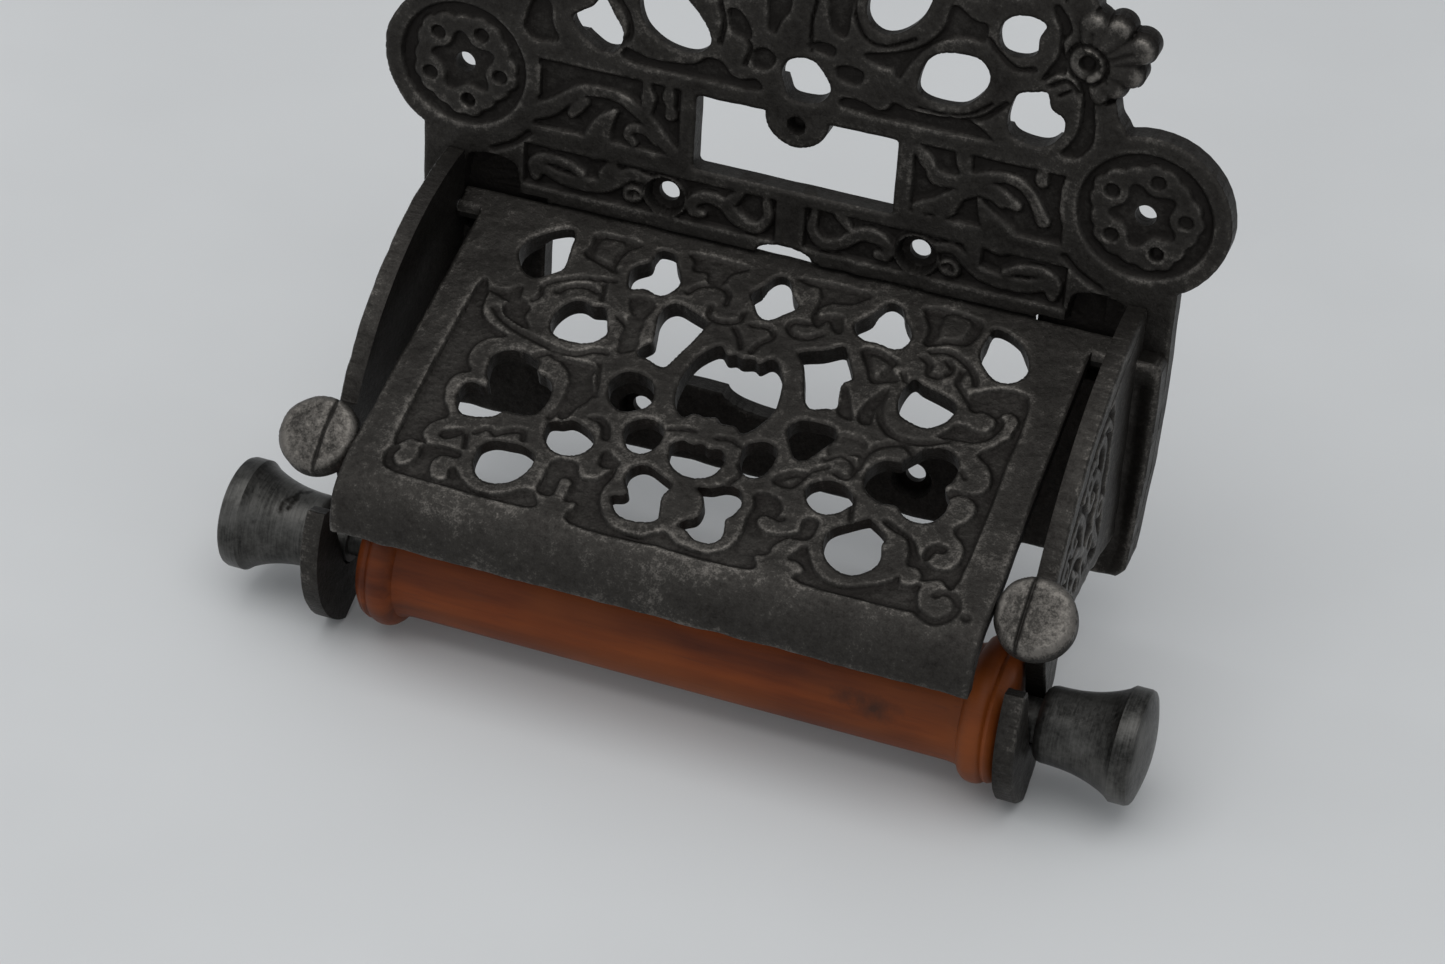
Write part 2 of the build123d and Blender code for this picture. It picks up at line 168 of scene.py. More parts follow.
class Sheet:
    """Metal over a grid in u, v: solid where inside > 0, between the bottom and top heights."""

    def __init__(self, u_span, v_span, step=GRID):
        self.step = step
        self.u = np.arange(u_span[0], u_span[1] + step, step)
        self.v = np.arange(v_span[0], v_span[1] + step, step)
        self.U, self.V = np.meshgrid(self.u, self.v, indexing="ij")
        self.inside = np.full(self.U.shape, -FAR)
        self.raised = np.ones(self.U.shape)
        self.lump = np.zeros(self.U.shape)

    def window(self, points, margin):
        low, high = points.min(0) - margin, points.max(0) + margin
        i = slice(*np.searchsorted(self.u, (low[0], high[0])))
        j = slice(*np.searchsorted(self.v, (low[1], high[1])))
        return i, j

    def distance(self, points, window, radii=None, closed=False):
        """Distance to a polyline, or that over the radius that changes along it."""
        u, v = self.U[window], self.V[window]
        best = np.full(u.shape, FAR)
        ends = np.roll(points, -1, 0) if closed else points[1:]
        for k, (a, b) in enumerate(zip(points, ends)):
            run = b - a
            share = np.clip(((u - a[0]) * run[0] + (v - a[1]) * run[1]) / max(run @ run, 1e-9), 0, 1)
            apart = np.hypot(u - a[0] - share * run[0], v - a[1] - share * run[1])
            if radii is not None:
                apart = apart / (radii[k] + (radii[k + 1] - radii[k]) * share)
            best = np.minimum(best, apart)
        return best

    def signed(self, outline, window):
        """Distance to a closed outline, positive within it."""
        u, v = self.U[window], self.V[window]
        within = np.zeros(u.shape, bool)
        for a, b in zip(outline, np.roll(outline, -1, 0)):
            if a[1] != b[1]:
                crosses = (a[1] > v) != (b[1] > v)
                within ^= crosses & (u < (b[0] - a[0]) * (v - a[1]) / (b[1] - a[1]) + a[0])
        apart = self.distance(outline, window, closed=True)
        return np.where(within, apart, -apart)

    def add(self, outline, margin=6.0):
        w = self.window(outline, margin)
        self.inside[w] = np.maximum(self.inside[w], self.signed(outline, w))

    def pierce(self, outline, margin=6.0):
        w = self.window(outline, margin)
        self.inside[w] = np.minimum(self.inside[w], -self.signed(outline, w))

    def sink(self, outline, soft=0.7, level=0.0):
        """Lower the ground inside an outline."""
        w = self.window(outline, 1.0)
        wall = step_up(0.5 + self.signed(outline, w) / soft)
        self.raised[w] = np.minimum(self.raised[w], 1 - (1 - level) * wall)

    def raise_to(self, shape, w):
        self.raised[w] = np.maximum(self.raised[w], shape)

    def stroke(self, points, radii):
        """A strap or leaf along a curve, with radii spread evenly along it."""
        path = smooth(points)
        along = np.linspace(0, 1, len(path))
        widths = np.interp(along, np.linspace(0, 1, len(radii)), radii)
        w = self.window(path, max(radii) + 1)
        ratio = self.distance(path, w, widths)
        self.raise_to(np.clip(1.45 * np.sqrt(np.clip(1 - ratio**2, 0, 1)), 0, 1), w)

    def groove(self, points, radius, level):
        """A cut along a curve, with soft sides."""
        path = smooth(points)
        w = self.window(path, radius + 1)
        cut = step_up(1.35 - self.distance(path, w) / radius)
        self.raised[w] = np.minimum(self.raised[w], 1 - (1 - level) * cut)

    def plateau(self, outline, soft=0.8, level=1.0):
        """A raised area inside an outline."""
        w = self.window(outline, 1.0)
        self.raise_to(level * step_up(0.5 + self.signed(outline, w) / soft), w)

    def carve(self, pockets, grooves):
        """Sink pockets given as (outline, level) and grooves given as (path, radius)."""
        for outline, level in pockets:
            self.sink(smooth(outline, closed=True, per=4), 0.6, level)
        for path, radius in grooves:
            self.groove(path, radius, 0.3)

    def shape(self, base, depth, bottom, round_edge, waves=0.05):
        """Turn the relief into heights, and note the painted crease shade, the edge wear and how sunk the
        surface is.
        """
        uneven = blur(RNG.standard_normal(self.U.shape), 5)
        fine = blur(RNG.standard_normal(self.U.shape), 1.6)
        relief = blur(self.raised, 0.55)
        self.inside = self.inside + 0.04 * uneven / uneven.std()
        wave = uneven / uneven.std() + 0.5 * fine / fine.std()
        surface = base - depth * (1 - relief) + waves * wave
        self.edge = np.broadcast_to(round_edge, surface.shape) + 0.0
        self.shore = np.clip(self.inside, 0, 4)
        surface = surface + self.lump - edge_drop(self.shore, self.edge)
        self.top, self.bottom = surface, np.broadcast_to(bottom, surface.shape).copy()
        # Lower than its surroundings is painted darker, as shade in the creases; higher is painted lighter,
        # as rubbed wear on edges.
        self.crease_shade_and_wear = np.clip(0.5 + (surface - blur(surface, 1.0 / self.step)) / 1.3, 0, 1)
        self.ground = 1 - relief


def edge_drop(inside, radius):
    """How far a rounded edge falls at a distance in from the outline."""
    return 0.9 * (radius - np.sqrt(radius**2 - np.clip(radius - inside, 0, radius) ** 2))


def sheet_mesh(name, sheet, place, flip=False):
    """Closed mesh of a sheet. place(u, v, height) gives positions in millimetres."""
    solid = sheet.inside > 0
    fields = [sheet.U, sheet.V, sheet.top, sheet.bottom, sheet.crease_shade_and_wear, sheet.ground]
    drop = edge_drop(sheet.shore, sheet.edge)
    values = [np.column_stack([f[solid] for f in fields])]
    corner = np.full(solid.shape, -1)
    corner[solid] = np.arange(solid.sum())
    count = int(solid.sum())
    edges = []
    for first, second in (((slice(None, -1), slice(None)), (slice(1, None), slice(None))),
                          ((slice(None), slice(None, -1)), (slice(None), slice(1, None)))):
        a, b = sheet.inside[first], sheet.inside[second]
        cut = (a > 0) != (b > 0)
        share = np.clip(a / np.where(cut, a - b, 1), 0.03, 0.97)[cut]
        keep_first = (a > 0)[cut]
        rows = [f[first][cut] + (f[second][cut] - f[first][cut]) * share for f in fields[:2]]
        rows += [np.where(keep_first, f[first][cut], f[second][cut]) for f in fields[2:]]
        shore = sheet.shore[first][cut] * (1 - share) + sheet.shore[second][cut] * share
        edge = np.where(keep_first, sheet.edge[first][cut], sheet.edge[second][cut])
        rows[2] += np.where(keep_first, drop[first][cut], drop[second][cut]) - edge_drop(shore, edge)
        values.append(np.column_stack(rows))
        ids = np.full(cut.shape, -1)
        ids[cut] = count + np.arange(cut.sum())
        count += int(cut.sum())
        edges.append(ids)
    along_u, along_v = edges
    around = [corner[:-1, :-1], along_u[:, :-1], corner[1:, :-1], along_v[1:, :],
              corner[1:, 1:], along_u[:, 1:], corner[:-1, 1:], along_v[:-1, :]]
    slots = np.stack(around, -1).reshape(-1, 8)
    used = slots >= 0
    values = np.vstack(values)
    polygons, walls = [], []
    for size in (3, 4, 5, 6):
        rows = used.sum(1) == size
        ids = slots[rows][used[rows]].reshape(-1, size)
        is_edge = np.broadcast_to(np.arange(8) % 2 == 1, slots[rows].shape)[used[rows]].reshape(-1, size)
        polygons += ids.tolist()
        for k in range(size):
            both = is_edge[:, k] & is_edge[:, (k + 1) % size]
            walls += np.column_stack([ids[both, k], ids[both, (k + 1) % size]]).tolist()
    u, v, top, bottom, crease_shade_and_wear, ground = values.T
    points = np.vstack([place(u, v, top), place(u, v, bottom)]) * MM
    faces = polygons + [[i + count for i in reversed(p)] for p in polygons]
    faces += [[b, a, a + count, b + count] for a, b in walls]
    if flip:
        faces = [f[::-1] for f in faces]
    obj = mesh_object(name, points, faces)
    # Per vertex: the painted crease shade with the edge wear, and the sunk ground; the back gets fixed
    # values.
    set_value(obj, "crease_shade_and_wear", np.concatenate([crease_shade_and_wear, np.full(count, BACK_SHADE_AND_WEAR)]))
    set_value(obj, "ground", np.concatenate([ground, np.full(count, BACK_GROUND)]))
    triangles = sum(len(f) - 2 for f in faces)
    if triangles > TRIANGLE_BUDGET:
        thin(obj, TRIANGLE_BUDGET / triangles)
    return obj


def mesh_object(name, points, faces, sharp_angle=SHARP_ANGLE):
    mesh = bpy.data.meshes.new(name)
    mesh.from_pydata([tuple(p) for p in np.asarray(points).tolist()], [], faces)
    mesh.validate()
    obj = bpy.data.objects.new(name, mesh)
    bpy.context.scene.collection.objects.link(obj)
    shade(obj, sharp_angle)
    return obj


def shade(obj, sharp_angle):
    obj.data.shade_smooth()
    obj.data.set_sharp_from_angle(angle=radians(sharp_angle))


def set_value(obj, name, values):
    """Store one number per vertex for the material to read."""
    layer = obj.data.attributes.new(name, "FLOAT", "POINT")
    layer.data.foreach_set("value", np.asarray(values, np.float32))


def apply_modifiers(obj):
    evaluated = obj.evaluated_get(bpy.context.evaluated_depsgraph_get())
    mesh = bpy.data.meshes.new_from_object(evaluated)
    obj.modifiers.clear()
    old, obj.data = obj.data, mesh
    bpy.data.meshes.remove(old)


def thin(obj, ratio):
    """Collapse the least useful edges, which takes them from the flat back first."""
    modifier = obj.modifiers.new("thin", "DECIMATE")
    modifier.ratio = ratio
    apply_modifiers(obj)
    shade(obj, SHARP_ANGLE)


def join(name, objects):
    """One object from several closed meshes."""
    with bpy.context.temp_override(active_object=objects[0], selected_editable_objects=objects):
        bpy.ops.object.join()
    objects[0].name = objects[0].data.name = name
    return objects[0]


def lathe(name, profile, centre, segments):
    """Turned solid about an axis along X: profile is a list of (x, radius)."""
    profile = np.asarray(profile, float)
    angles = np.linspace(0, 2 * pi, segments, endpoint=False)
    points, faces = [], []
    for x, radius in profile:
        for a in angles:
            points.append((x, centre[1] + radius * cos(a), centre[2] + radius * sin(a)))
    for k in range(len(profile) - 1):
        for i in range(segments):
            j = (i + 1) % segments
            row, following = k * segments, (k + 1) * segments
            faces.append([row + i, following + i, following + j, row + j])
    faces.append(list(range(segments)))
    faces.append([(len(profile) - 1) * segments + i for i in reversed(range(segments))])
    obj = mesh_object(name, np.array(points) * MM, faces, TURNED_SHARP_ANGLE)
    set_value(obj, "crease_shade_and_wear", np.full(len(points), TURNED_SHADE_AND_WEAR))
    set_value(obj, "ground", np.full(len(points), TURNED_GROUND))
    return obj


# ---------------------------------------------------------------- backplate
# The plate's ornament in its own x, z. Outlines and paths are listed points that smooth() runs a curve
# through. CREST_RIGHT, CREST_LEFT and CREST_MIDDLE are openings; _SUNK tables hold (outline, level),
# _CUTS tables (path, radius), and PANEL and STRIP the leaves and scrolls as (path, radii).
CREST_EDGE = [(60, 8), (62.5, 19), (56, 27), (53, 40), (46, 46), (35, 50), (24, 58), (12, 63), (6, 68),
              (0, 71)]
FLOWER = (57.3, 30.2)
FLOWER_GROUND = ((-70, 5), (-62, 9), (-34, 10), (-4, 12), (27, 15), (57, 13), (86, 12), (100, 7))
PETALS = ((-62, 6.4, 2.1), (-34, 6.6, 2.6), (-4, 8.4, 2.8), (27, 11.0, 3.1), (57, 9.6, 2.8), (86, 8.2, 2.8))
CREST_RIGHT = [
    [(24.2, 19.2), (25.8, 23.6), (29, 25.8), (34.8, 26.3), (37.6, 24.6), (38.3, 21.6), (36.6, 18),
     (33, 15.2), (27.4, 14.9), (24.4, 16.2)],
    [(42.8, 14), (43.3, 18), (44.6, 20.6), (47.5, 21.6), (50, 21.9), (51.2, 18.8), (53.8, 17.2), (54, 14.2),
     (51.4, 10.9), (47.8, 10.2), (44, 11.2)],
    [(39.4, 32), (40.2, 35), (42.4, 36.9), (46, 37.3), (48.4, 36), (47.4, 33.4), (47.2, 30), (44.4, 28.4),
     (40.6, 28.9)],
    [(12.6, 32), (13.6, 28.6), (16.4, 27), (20, 28.2), (23.4, 31.6), (25.4, 36), (25.6, 41.4), (22, 44.6),
     (17, 42.6), (13.8, 38)],
    [(31, 39.4), (34.8, 38.6), (36.6, 41), (34.8, 44.2), (31.6, 43.8), (30, 41.6)],
    [(7, 54.2), (9.2, 53), (12.4, 55.6), (13, 58), (10.6, 58.6), (8, 57)],
]
CREST_LEFT = [
    [(-34.2, 21), (-32.6, 17.4), (-29, 14.8), (-25, 13.8), (-21.4, 14.2), (-19.2, 16.4), (-19.6, 19.4),
     (-21.8, 22.5), (-25, 25.6), (-28.4, 27), (-32, 26.4), (-34, 24)],
    [(-48.4, 16), (-46.8, 13), (-44, 10.8), (-41.6, 9.8), (-39.2, 10.4), (-38, 12.8), (-37.8, 15.4),
     (-39.6, 18.4), (-41.2, 21), (-42.6, 21.9), (-44, 19.6), (-46.4, 18)],
]
CREST_LEFT += [[(-u, v) for u, v in outline] for outline in CREST_RIGHT[2:]]
CREST_MIDDLE = [
    [(-3.8, 14.2), (-2.4, 17), (0.4, 18.1), (3, 17.4), (5.4, 14.6), (6.4, 12.4), (5.4, 10), (3, 8.6),
     (-1.6, 8.6), (-3, 11)],
    [(0, 43.2), (2.8, 46), (3.4, 50), (2, 54), (0, 55), (-2, 54), (-3.4, 50), (-2.8, 46)],
]
CREST_SUNK = [
    ([(5, 37), (5.2, 28), (6.4, 25), (8.8, 24.8), (9.4, 29), (9.8, 37)], 0.1),
    ([(1.2, 21.2), (4.4, 22.4), (6.8, 21.6), (6.4, 19.8), (3.4, 20.2)], 0.1),
    ([(7.4, 17.4), (9.4, 18.4), (12.8, 17.8), (12.4, 15.2), (10.4, 14.6), (8, 15.4)], 0.1),
    ([(13.2, 22), (17.6, 23.2), (22, 24.8), (26, 27.8), (28.4, 31.4), (29.4, 35.8), (31, 36.2), (34, 34.2),
      (36.8, 33.6), (36.6, 30), (33, 29.9), (28.6, 28.6), (25, 25.8), (22, 21.6), (20.2, 18.2), (18.8, 19.8),
      (16.4, 20), (14, 20.6)], 0.15),
    ([(9.4, 11.4), (13.6, 11.2), (16, 10.2), (18.4, 10.8), (19.8, 12.6), (22, 12), (28, 11.8), (33, 12.4),
      (36.4, 12), (39.6, 9.8), (38.6, 9.2), (24, 9), (10, 9.2)], 0.0),
    ([(54, 9.6), (57.6, 9.8), (60, 13.6), (59.6, 20), (58.4, 25.6), (55.8, 26), (57, 23), (57.2, 17.6),
      (56.2, 13.4)], 0.0),
    ([(48.6, 24.4), (51.2, 26.4), (53.2, 27), (52.8, 30), (52, 33.6), (53.4, 36), (52.6, 38.4), (50.4, 41),
      (49.6, 39.8), (51.4, 35.6), (51.4, 30.6), (50, 27.6)], 0.05),
    ([(27, 39), (28.6, 44), (31.4, 47), (35, 46.6), (38.6, 43), (41, 41), (45, 41.4), (44, 43.4),
      (38.4, 46.4), (33, 49), (28, 50.6), (25.4, 47.6)], 0.1),
    ([(5.4, 41), (8, 46), (12, 49), (17, 50), (21, 49.4), (18, 54), (14, 55), (10, 51), (6, 49.4),
      (4.8, 46)], 0.1),
]
CREST_SUNK_LEFT = [
    ([(-58.4, 9.6), (-57.8, 16), (-55.8, 19), (-53.4, 18), (-52.8, 14), (-51.6, 9.8)], 0.05),
    ([(-37, 11.6), (-34.6, 11.2), (-31.6, 10.4), (-27, 10.6), (-22.4, 11.4), (-19.2, 13.6), (-16.4, 13.2),
      (-14.4, 11), (-12, 10.4), (-9, 11), (-8.6, 8.8), (-20, 8.6), (-36, 8.8)], 0.0),
    ([(-15.6, 24.8), (-14.8, 20.8), (-12, 19.4), (-10.6, 20.4), (-11.4, 23), (-13.6, 25.4)], 0.05),
    ([(-10, 16.8), (-7.8, 18.4), (-5.4, 17), (-6.4, 14.2), (-9.4, 13.6)], 0.1),
    ([(-5.8, 22.2), (-4.6, 25.2), (-2.8, 28.6), (-3.6, 36), (-8, 36), (-7.4, 27), (-7.2, 23)], 0.1),
    ([(-17, 30.6), (-20, 33.4), (-25, 30.4), (-29, 33), (-35, 31.6), (-36.6, 28), (-38.4, 25), (-36.4, 24.4),
      (-34.6, 29), (-29, 30.2), (-24, 28.4), (-19, 26.6)], 0.15),
    ([(-48.6, 24.4), (-51.2, 26.4), (-53.2, 27), (-52.8, 30), (-52, 33.6), (-53.4, 36), (-51, 40.4),
      (-49.8, 39.8), (-51.4, 35.6), (-51.4, 30.6), (-50, 27.6)], 0.05),
]
CREST_SUNK_LEFT += [([(-u, v) for u, v in outline], level) for outline, level in CREST_SUNK[7:]]
CREST_CUTS = [
    ([(34, 12.2), (38, 13.8), (42.2, 17.8)], 0.6),
    ([(37.6, 30.6), (40, 28), (43.4, 25.8), (47, 26.4)], 0.6),
    ([(50.4, 23.6), (53.6, 25.4), (56.2, 23.4)], 0.5),
    ([(52.4, 22), (54.6, 23.6)], 0.35),
    ([(-38, 12), (-36, 14.8), (-36.6, 19), (-38.6, 22)], 0.7),
    ([(-17.6, 27), (-16.4, 22), (-17, 17.4)], 0.55),
    ([(-11.6, 13.8), (-10.6, 18), (-12.6, 20)], 0.5),
    ([(2, 20), (1.6, 26), (2.4, 31)], 0.35),
    ([(0, 58), (0, 66)], 0.5),
    ([(24.6, 12.9), (30, 12.7), (35, 13.8), (39.4, 17.2)], 0.3),
    ([(10.4, 36), (10.4, 30), (13, 25.2), (17.4, 24.6), (23, 27.4)], 0.35),
]
PANEL = [
    ([(25.4, 4), (27.2, 1.9), (28.4, 0.2), (29.8, -1.6), (32.6, -1.8), (35.6, -1)],
      (1.2, 1.9, 1.5, 2.1, 1.6, 2.0)),
    ([(34.6, 5.4), (35, 3), (35.6, 0.8), (37.6, -1.2)], (1.9, 1.9, 1.4, 2.2)),
    ([(26.4, -9.2), (30, -8), (32.6, -6.4), (34.6, -4.2), (37.4, -2.4)], (1.6, 2.1, 2.5, 1.6, 2.0)),
    ([(31, -9.6), (33.2, -8.2)], (1.6, 1.3)),
    ([(36.6, -1.4), (40, -1.8), (43, -2.6), (46.2, -4)], (2.2, 2.4, 2.1, 1.4)),
    ([(42.4, -3.4), (43.4, -4.2)], (1.5, 1.2)),
    ([(37.4, -0.2), (41, 1.3), (45, 1.6), (48.2, 0), (50.4, -3), (52, -6)], (1.6, 1.4, 1.3, 1.4, 1.4, 1.7)),
    ([(51.2, 5.4), (50.8, 3.6), (50.9, 2.6)], (1.2, 1.6, 1.5)),
    ([(43.6, -12), (42, -9.6), (40, -6.8), (38.8, -4.6)], (4.2, 3.0, 1.6, 0.7)),
    ([(-57, -7.4), (-53, -5.8), (-49.6, -3), (-46.4, -0.4), (-42.6, 0.4), (-38, 0.2), (-34.6, -1.4),
      (-31, -4), (-28.4, -7), (-25.4, -10)], (2.4, 2.1, 1.7, 1.5, 1.4, 1.5, 1.8, 1.8, 1.7)),
    ([(-48, -5.8), (-46.6, -4), (-45.4, -2.6)], (1.2, 1.5, 1.4)),
    ([(-42.4, -12), (-41.8, -8.6), (-40.6, -5.8), (-38.8, -3.4)], (3.8, 2.8, 2.0, 0.9)),
    ([(-34.4, -9.4), (-35.6, -7.8), (-34.8, -6.2), (-32, -6), (-29.4, -7.8)], (1.1, 1.3, 1.2, 1.3)),
    ([(-32, 5.4), (-31.8, 3), (-31.6, 1.4), (-31.8, -1.6)], (1.2, 1.3, 1.9, 1.3)),
    ([(-27, 5.4), (-27.2, 2.8), (-27, 1.6)], (1.0, 1.7, 1.4)),
    ([(-26.8, 0.4), (-26.6, -1.2)], (1.2, 1.6)),
]
STRIP = [
    ([(5.2, -15.6), (4.8, -19.6), (7.2, -22.4), (11, -21.4), (14.4, -18.6), (18, -18), (20.8, -19.6),
      (20.8, -22), (18.8, -22)], (1.0, 1.5, 1.6, 1.9, 1.4, 1.1)),
    ([(31, -17.2), (34.6, -16.8), (37.6, -19), (41, -21), (46, -21.6), (50.4, -21.2), (54, -20),
      (55.6, -22)], (1.3, 1.4, 1.8, 1.9, 1.8, 1.3)),
    ([(45.4, -19.4), (49, -17.8), (53.6, -17.6), (56.2, -19.6), (55.6, -22.4)], (1.0, 1.5, 1.3, 1.2)),
    ([(38.4, -14.4), (38.8, -16.4), (39.6, -18.6)], (2.6, 1.8, 0.8)),
    ([(33.6, -21.2), (34.4, -21.4)], (2.2, 2.1)),
    ([(10.6, -15), (12.6, -17.4)], (1.6, 1.0)),
]
LIP_Z = -27.4
OPENING_SIDE = [(51, -63.5), (52.4, -62.9), (53, -61.5), (52.72, LIP_Z - 2), (52.7, LIP_Z - 0.2), (51, LIP_Z)]
CREST_SHOULDER = [(56, 8), (68, 12), (66.4, 17.4), (64.6, 20), (63, 24), (57, 28), (58.5, 42), (53, 45),
                  (50, 28)]
SCREWS = ((MEDALLION_X, 0.0), (27.0, -20.0), (30.5, -73.0))
SCREW_HOLE_R, SCREW_SEAT_R, SCREW_BOSS_R, SEAT_DEPTH = 2.2, 4.1, 4.9, 3.0
ARM_SCREW_X, ARM_SCREW_ZS, ARM_SCREW_R = 75.2, (-36.0, -74.0), 3.1
ARM_SCREW_SINK, CREST_HOLLOW = 0.4, 2.1
EAR_POCKET_X, EAR_POCKET_FLOOR = (59.4, 70.9), 1.8
TAB_PIT_Z, TAB_PIT_R, TAB_PIT_DEPTH = 3.0, 1.7, 3.0
MEDALLION_FIELD_R, ROSETTE_R, STAR_R, PIT_ROUND, PIT_R = 17.2, 11.3, 4.5, 8.2, 2.8
PLATE_RELIEF, LID_RELIEF, ARM_RELIEF = 1.25, 0.95, 1.0


def both_sides(points):
    return [np.asarray(points, float), mirrored(points)]


def add_flower(sheet, side):
    """Six round petals, every second one with a vein, round a boss with a pit."""
    centre = np.array([FLOWER[0] * side, FLOWER[1]])
    sheet.add(circle(centre, 4.3))
    ground = [centre + direction(angle) * reach * (side, 1) for angle, reach in FLOWER_GROUND]
    sheet.sink(np.array(ground), 0.6)
    veins = []
    for angle, reach, radius in PETALS:
        away = direction(angle) * (side, 1)
        aside = np.array([-away[1], away[0]])
        tip = centre + away * reach
        half = radius + 0.3
        sheet.add(circle(tip, half))
        hull = [centre + aside * 2.4, tip + aside * half, tip - aside * half, centre - aside * 2.4]
        sheet.add(np.array(hull))
        sheet.stroke([centre + away * 3.2, (centre + tip) / 2 + away, tip], (1.2, radius * 0.8, radius))
        path = smooth([centre + away * 3.6, (centre + tip) / 2 + away * 0.6, tip])
        w = sheet.window(path, radius + 1)
        ratio = sheet.distance(path, w, np.linspace(1.2, radius + 0.2, len(path)))
        sheet.lump[w] = np.maximum(sheet.lump[w], 1.3 * np.sqrt(np.clip(1 - ratio**2, 0, 1)))
        veins.append([centre + away * 4.6, tip - away * 1.4])
    for path in veins[1::2]:
        sheet.groove(path, 0.5, 0.6)
    w = sheet.window(circle(centre, 5), 1)
    apart = np.hypot(sheet.U[w] - centre[0], sheet.V[w] - centre[1])
    sheet.raised[w] = np.where(apart < 4.5, 0.25, sheet.raised[w])
    boss = 1.1 * step_up((4.1 - apart) / 0.7)
    sheet.raised[w] = np.maximum(sheet.raised[w], boss) - 1.3 * step_up((1.9 - apart) / 0.8)


def add_medallion(sheet, side, turn):
    """Scalloped rosette with five pits, round a sunk star and the screw hole."""
    cx = MEDALLION_X * side
    w = sheet.window(circle((cx, 0), 18), 1)
    du, dv = sheet.U[w] - cx, sheet.V[w]
    radius, angle = np.hypot(du, dv), np.arctan2(dv, du) - radians(turn)
    scallops = 0.55 * np.abs(np.cos(8.5 * angle + 0.4))
    edge = ROSETTE_R + 0.5 * np.cos(5 * angle) + scallops + 0.25 * np.sin(3 * angle)
    star = STAR_R + 2.3 * np.abs(np.sin(2.5 * angle)) ** 3
    level = np.where(radius > 13.0, step_up((radius - 13.2) / 0.8), 0.0)
    level = np.maximum(level, 0.85 * step_up((edge - radius) / 0.7) * step_up((radius - star) / 0.7))
    for k in range(5):
        pit = np.array([cx, 0]) + PIT_ROUND * direction(turn + 72 * k)
        apart = np.hypot(sheet.U[w] - pit[0], sheet.V[w] - pit[1])
        level = np.maximum(level, 0.95 * step_up((PIT_R - apart) / 0.8))
        level -= 1.6 * step_up((1.7 - apart) / 0.7)
    sheet.raised[w] = np.where(radius < MEDALLION_FIELD_R, level, sheet.raised[w])


def add_plate_outline(sheet):
    """The plate's body, its medallions and its crest."""
    body = np.array([(PLATE_HALF_W, -15.2), *PLATE_SIDE])
    sheet.add(np.vstack([body, mirrored(body)]), 40)
    sheet.add(rectangle(-66, 66, -30, -11), 40)
    sheet.add(rectangle(-62, 62, -30, 10), 40)
    for side in (1, -1):
        sheet.add(circle((MEDALLION_X * side, 0), MEDALLION_R), 20)
        sheet.add(smooth([(u * side, v) for u, v in CREST_SHOULDER], closed=True))
    right = np.vstack([CREST_EDGE[:2], smooth(CREST_EDGE[1:])[1:]])
    sheet.add(np.vstack([right, mirrored(right)[1:]]), 40)


def cut_plate_window(sheet):
    """Round-cornered window with a round tab down into its top edge."""
    window = rectangle(-20.2, 20.2, -10.9, 3.6)
    w = sheet.window(window, 6)
    clear = np.minimum(sheet.signed(window, w) + 1.1, -sheet.signed(circle((0, 4.7), 6.8), w))
    sheet.inside[w] = np.minimum(sheet.inside[w], -clear)


def add_plate_relief(sheet):
    """Crest, flowers, the panel beside the window, the strip under it and the medallions."""
    sheet.carve(CREST_SUNK + CREST_SUNK_LEFT, CREST_CUTS)
    for side in (1, -1):
        add_flower(sheet, side)
        sheet.sink(block(side, 24.8, 56, -10.2, 5.0), 0.6)
        sheet.sink(block(side, 3.2, 58, -24.3, -15), 0.6)
    for points, radii in PANEL:
        sheet.stroke(points, radii)
    for side in (1, -1):
        sheet.plateau(circle((SCREWS[1][0] * side, SCREWS[1][1]), SCREW_BOSS_R), 0.5)
    for points, radii in STRIP:
        for path in both_sides(points):
            sheet.stroke(path, radii)
    for side in (1, -1):
        sheet.groove([(33 * side, -21), (34 * side, -20.6), (34.4 * side, -21.6)], 0.5, 0.3)
        sheet.groove([(57.2 * side, -12.6), (60.5 * side, -15.6), (65 * side, -18)], 0.7, 0.3)
    add_medallion(sheet, 1, 5)
    add_medallion(sheet, -1, -10)


def cut_plate_opening(sheet):
    """Large opening behind the lid, with a shallow notch in its top and bottom edges."""
    edge = np.array(OPENING_SIDE)
    sheet.pierce(np.vstack([edge, mirrored(edge)]))
    sheet.pierce(ellipse((-0.8, LIP_Z), 5.9, 2.2))
    sheet.pierce(ellipse((0, -63.5), 12.0, 3.4))


def cut_plate_pockets(sheet):
    """Pit in the tab over the window, pockets for the lid's ears, screw seats and screw holes."""
    deep_pocket(sheet, circle((0, TAB_PIT_Z), TAB_PIT_R), PLATE_T - TAB_PIT_DEPTH)
    for side in (1, -1):
        u0, u1 = sorted(x * side for x in EAR_POCKET_X)
        arch = [(u0, -36.9), (u0, -23), (u0 + 2.5, -19.8), (u1 - 2.5, -19.8), (u1, -23), (u1, -36.9)]
        deep_pocket(sheet, smooth(arch, True, per=4), EAR_POCKET_FLOOR)
        deep_pocket(sheet, block(side, 52.9, EAR_POCKET_X[1], -37, -27), EAR_POCKET_FLOOR)
        for x, z in SCREWS[1:]:
            deep_pocket(sheet, circle((x * side, z), SCREW_SEAT_R), PLATE_T - SEAT_DEPTH)
        for x, z in SCREWS:
            sheet.pierce(circle((x * side, z), SCREW_HOLE_R), 3)


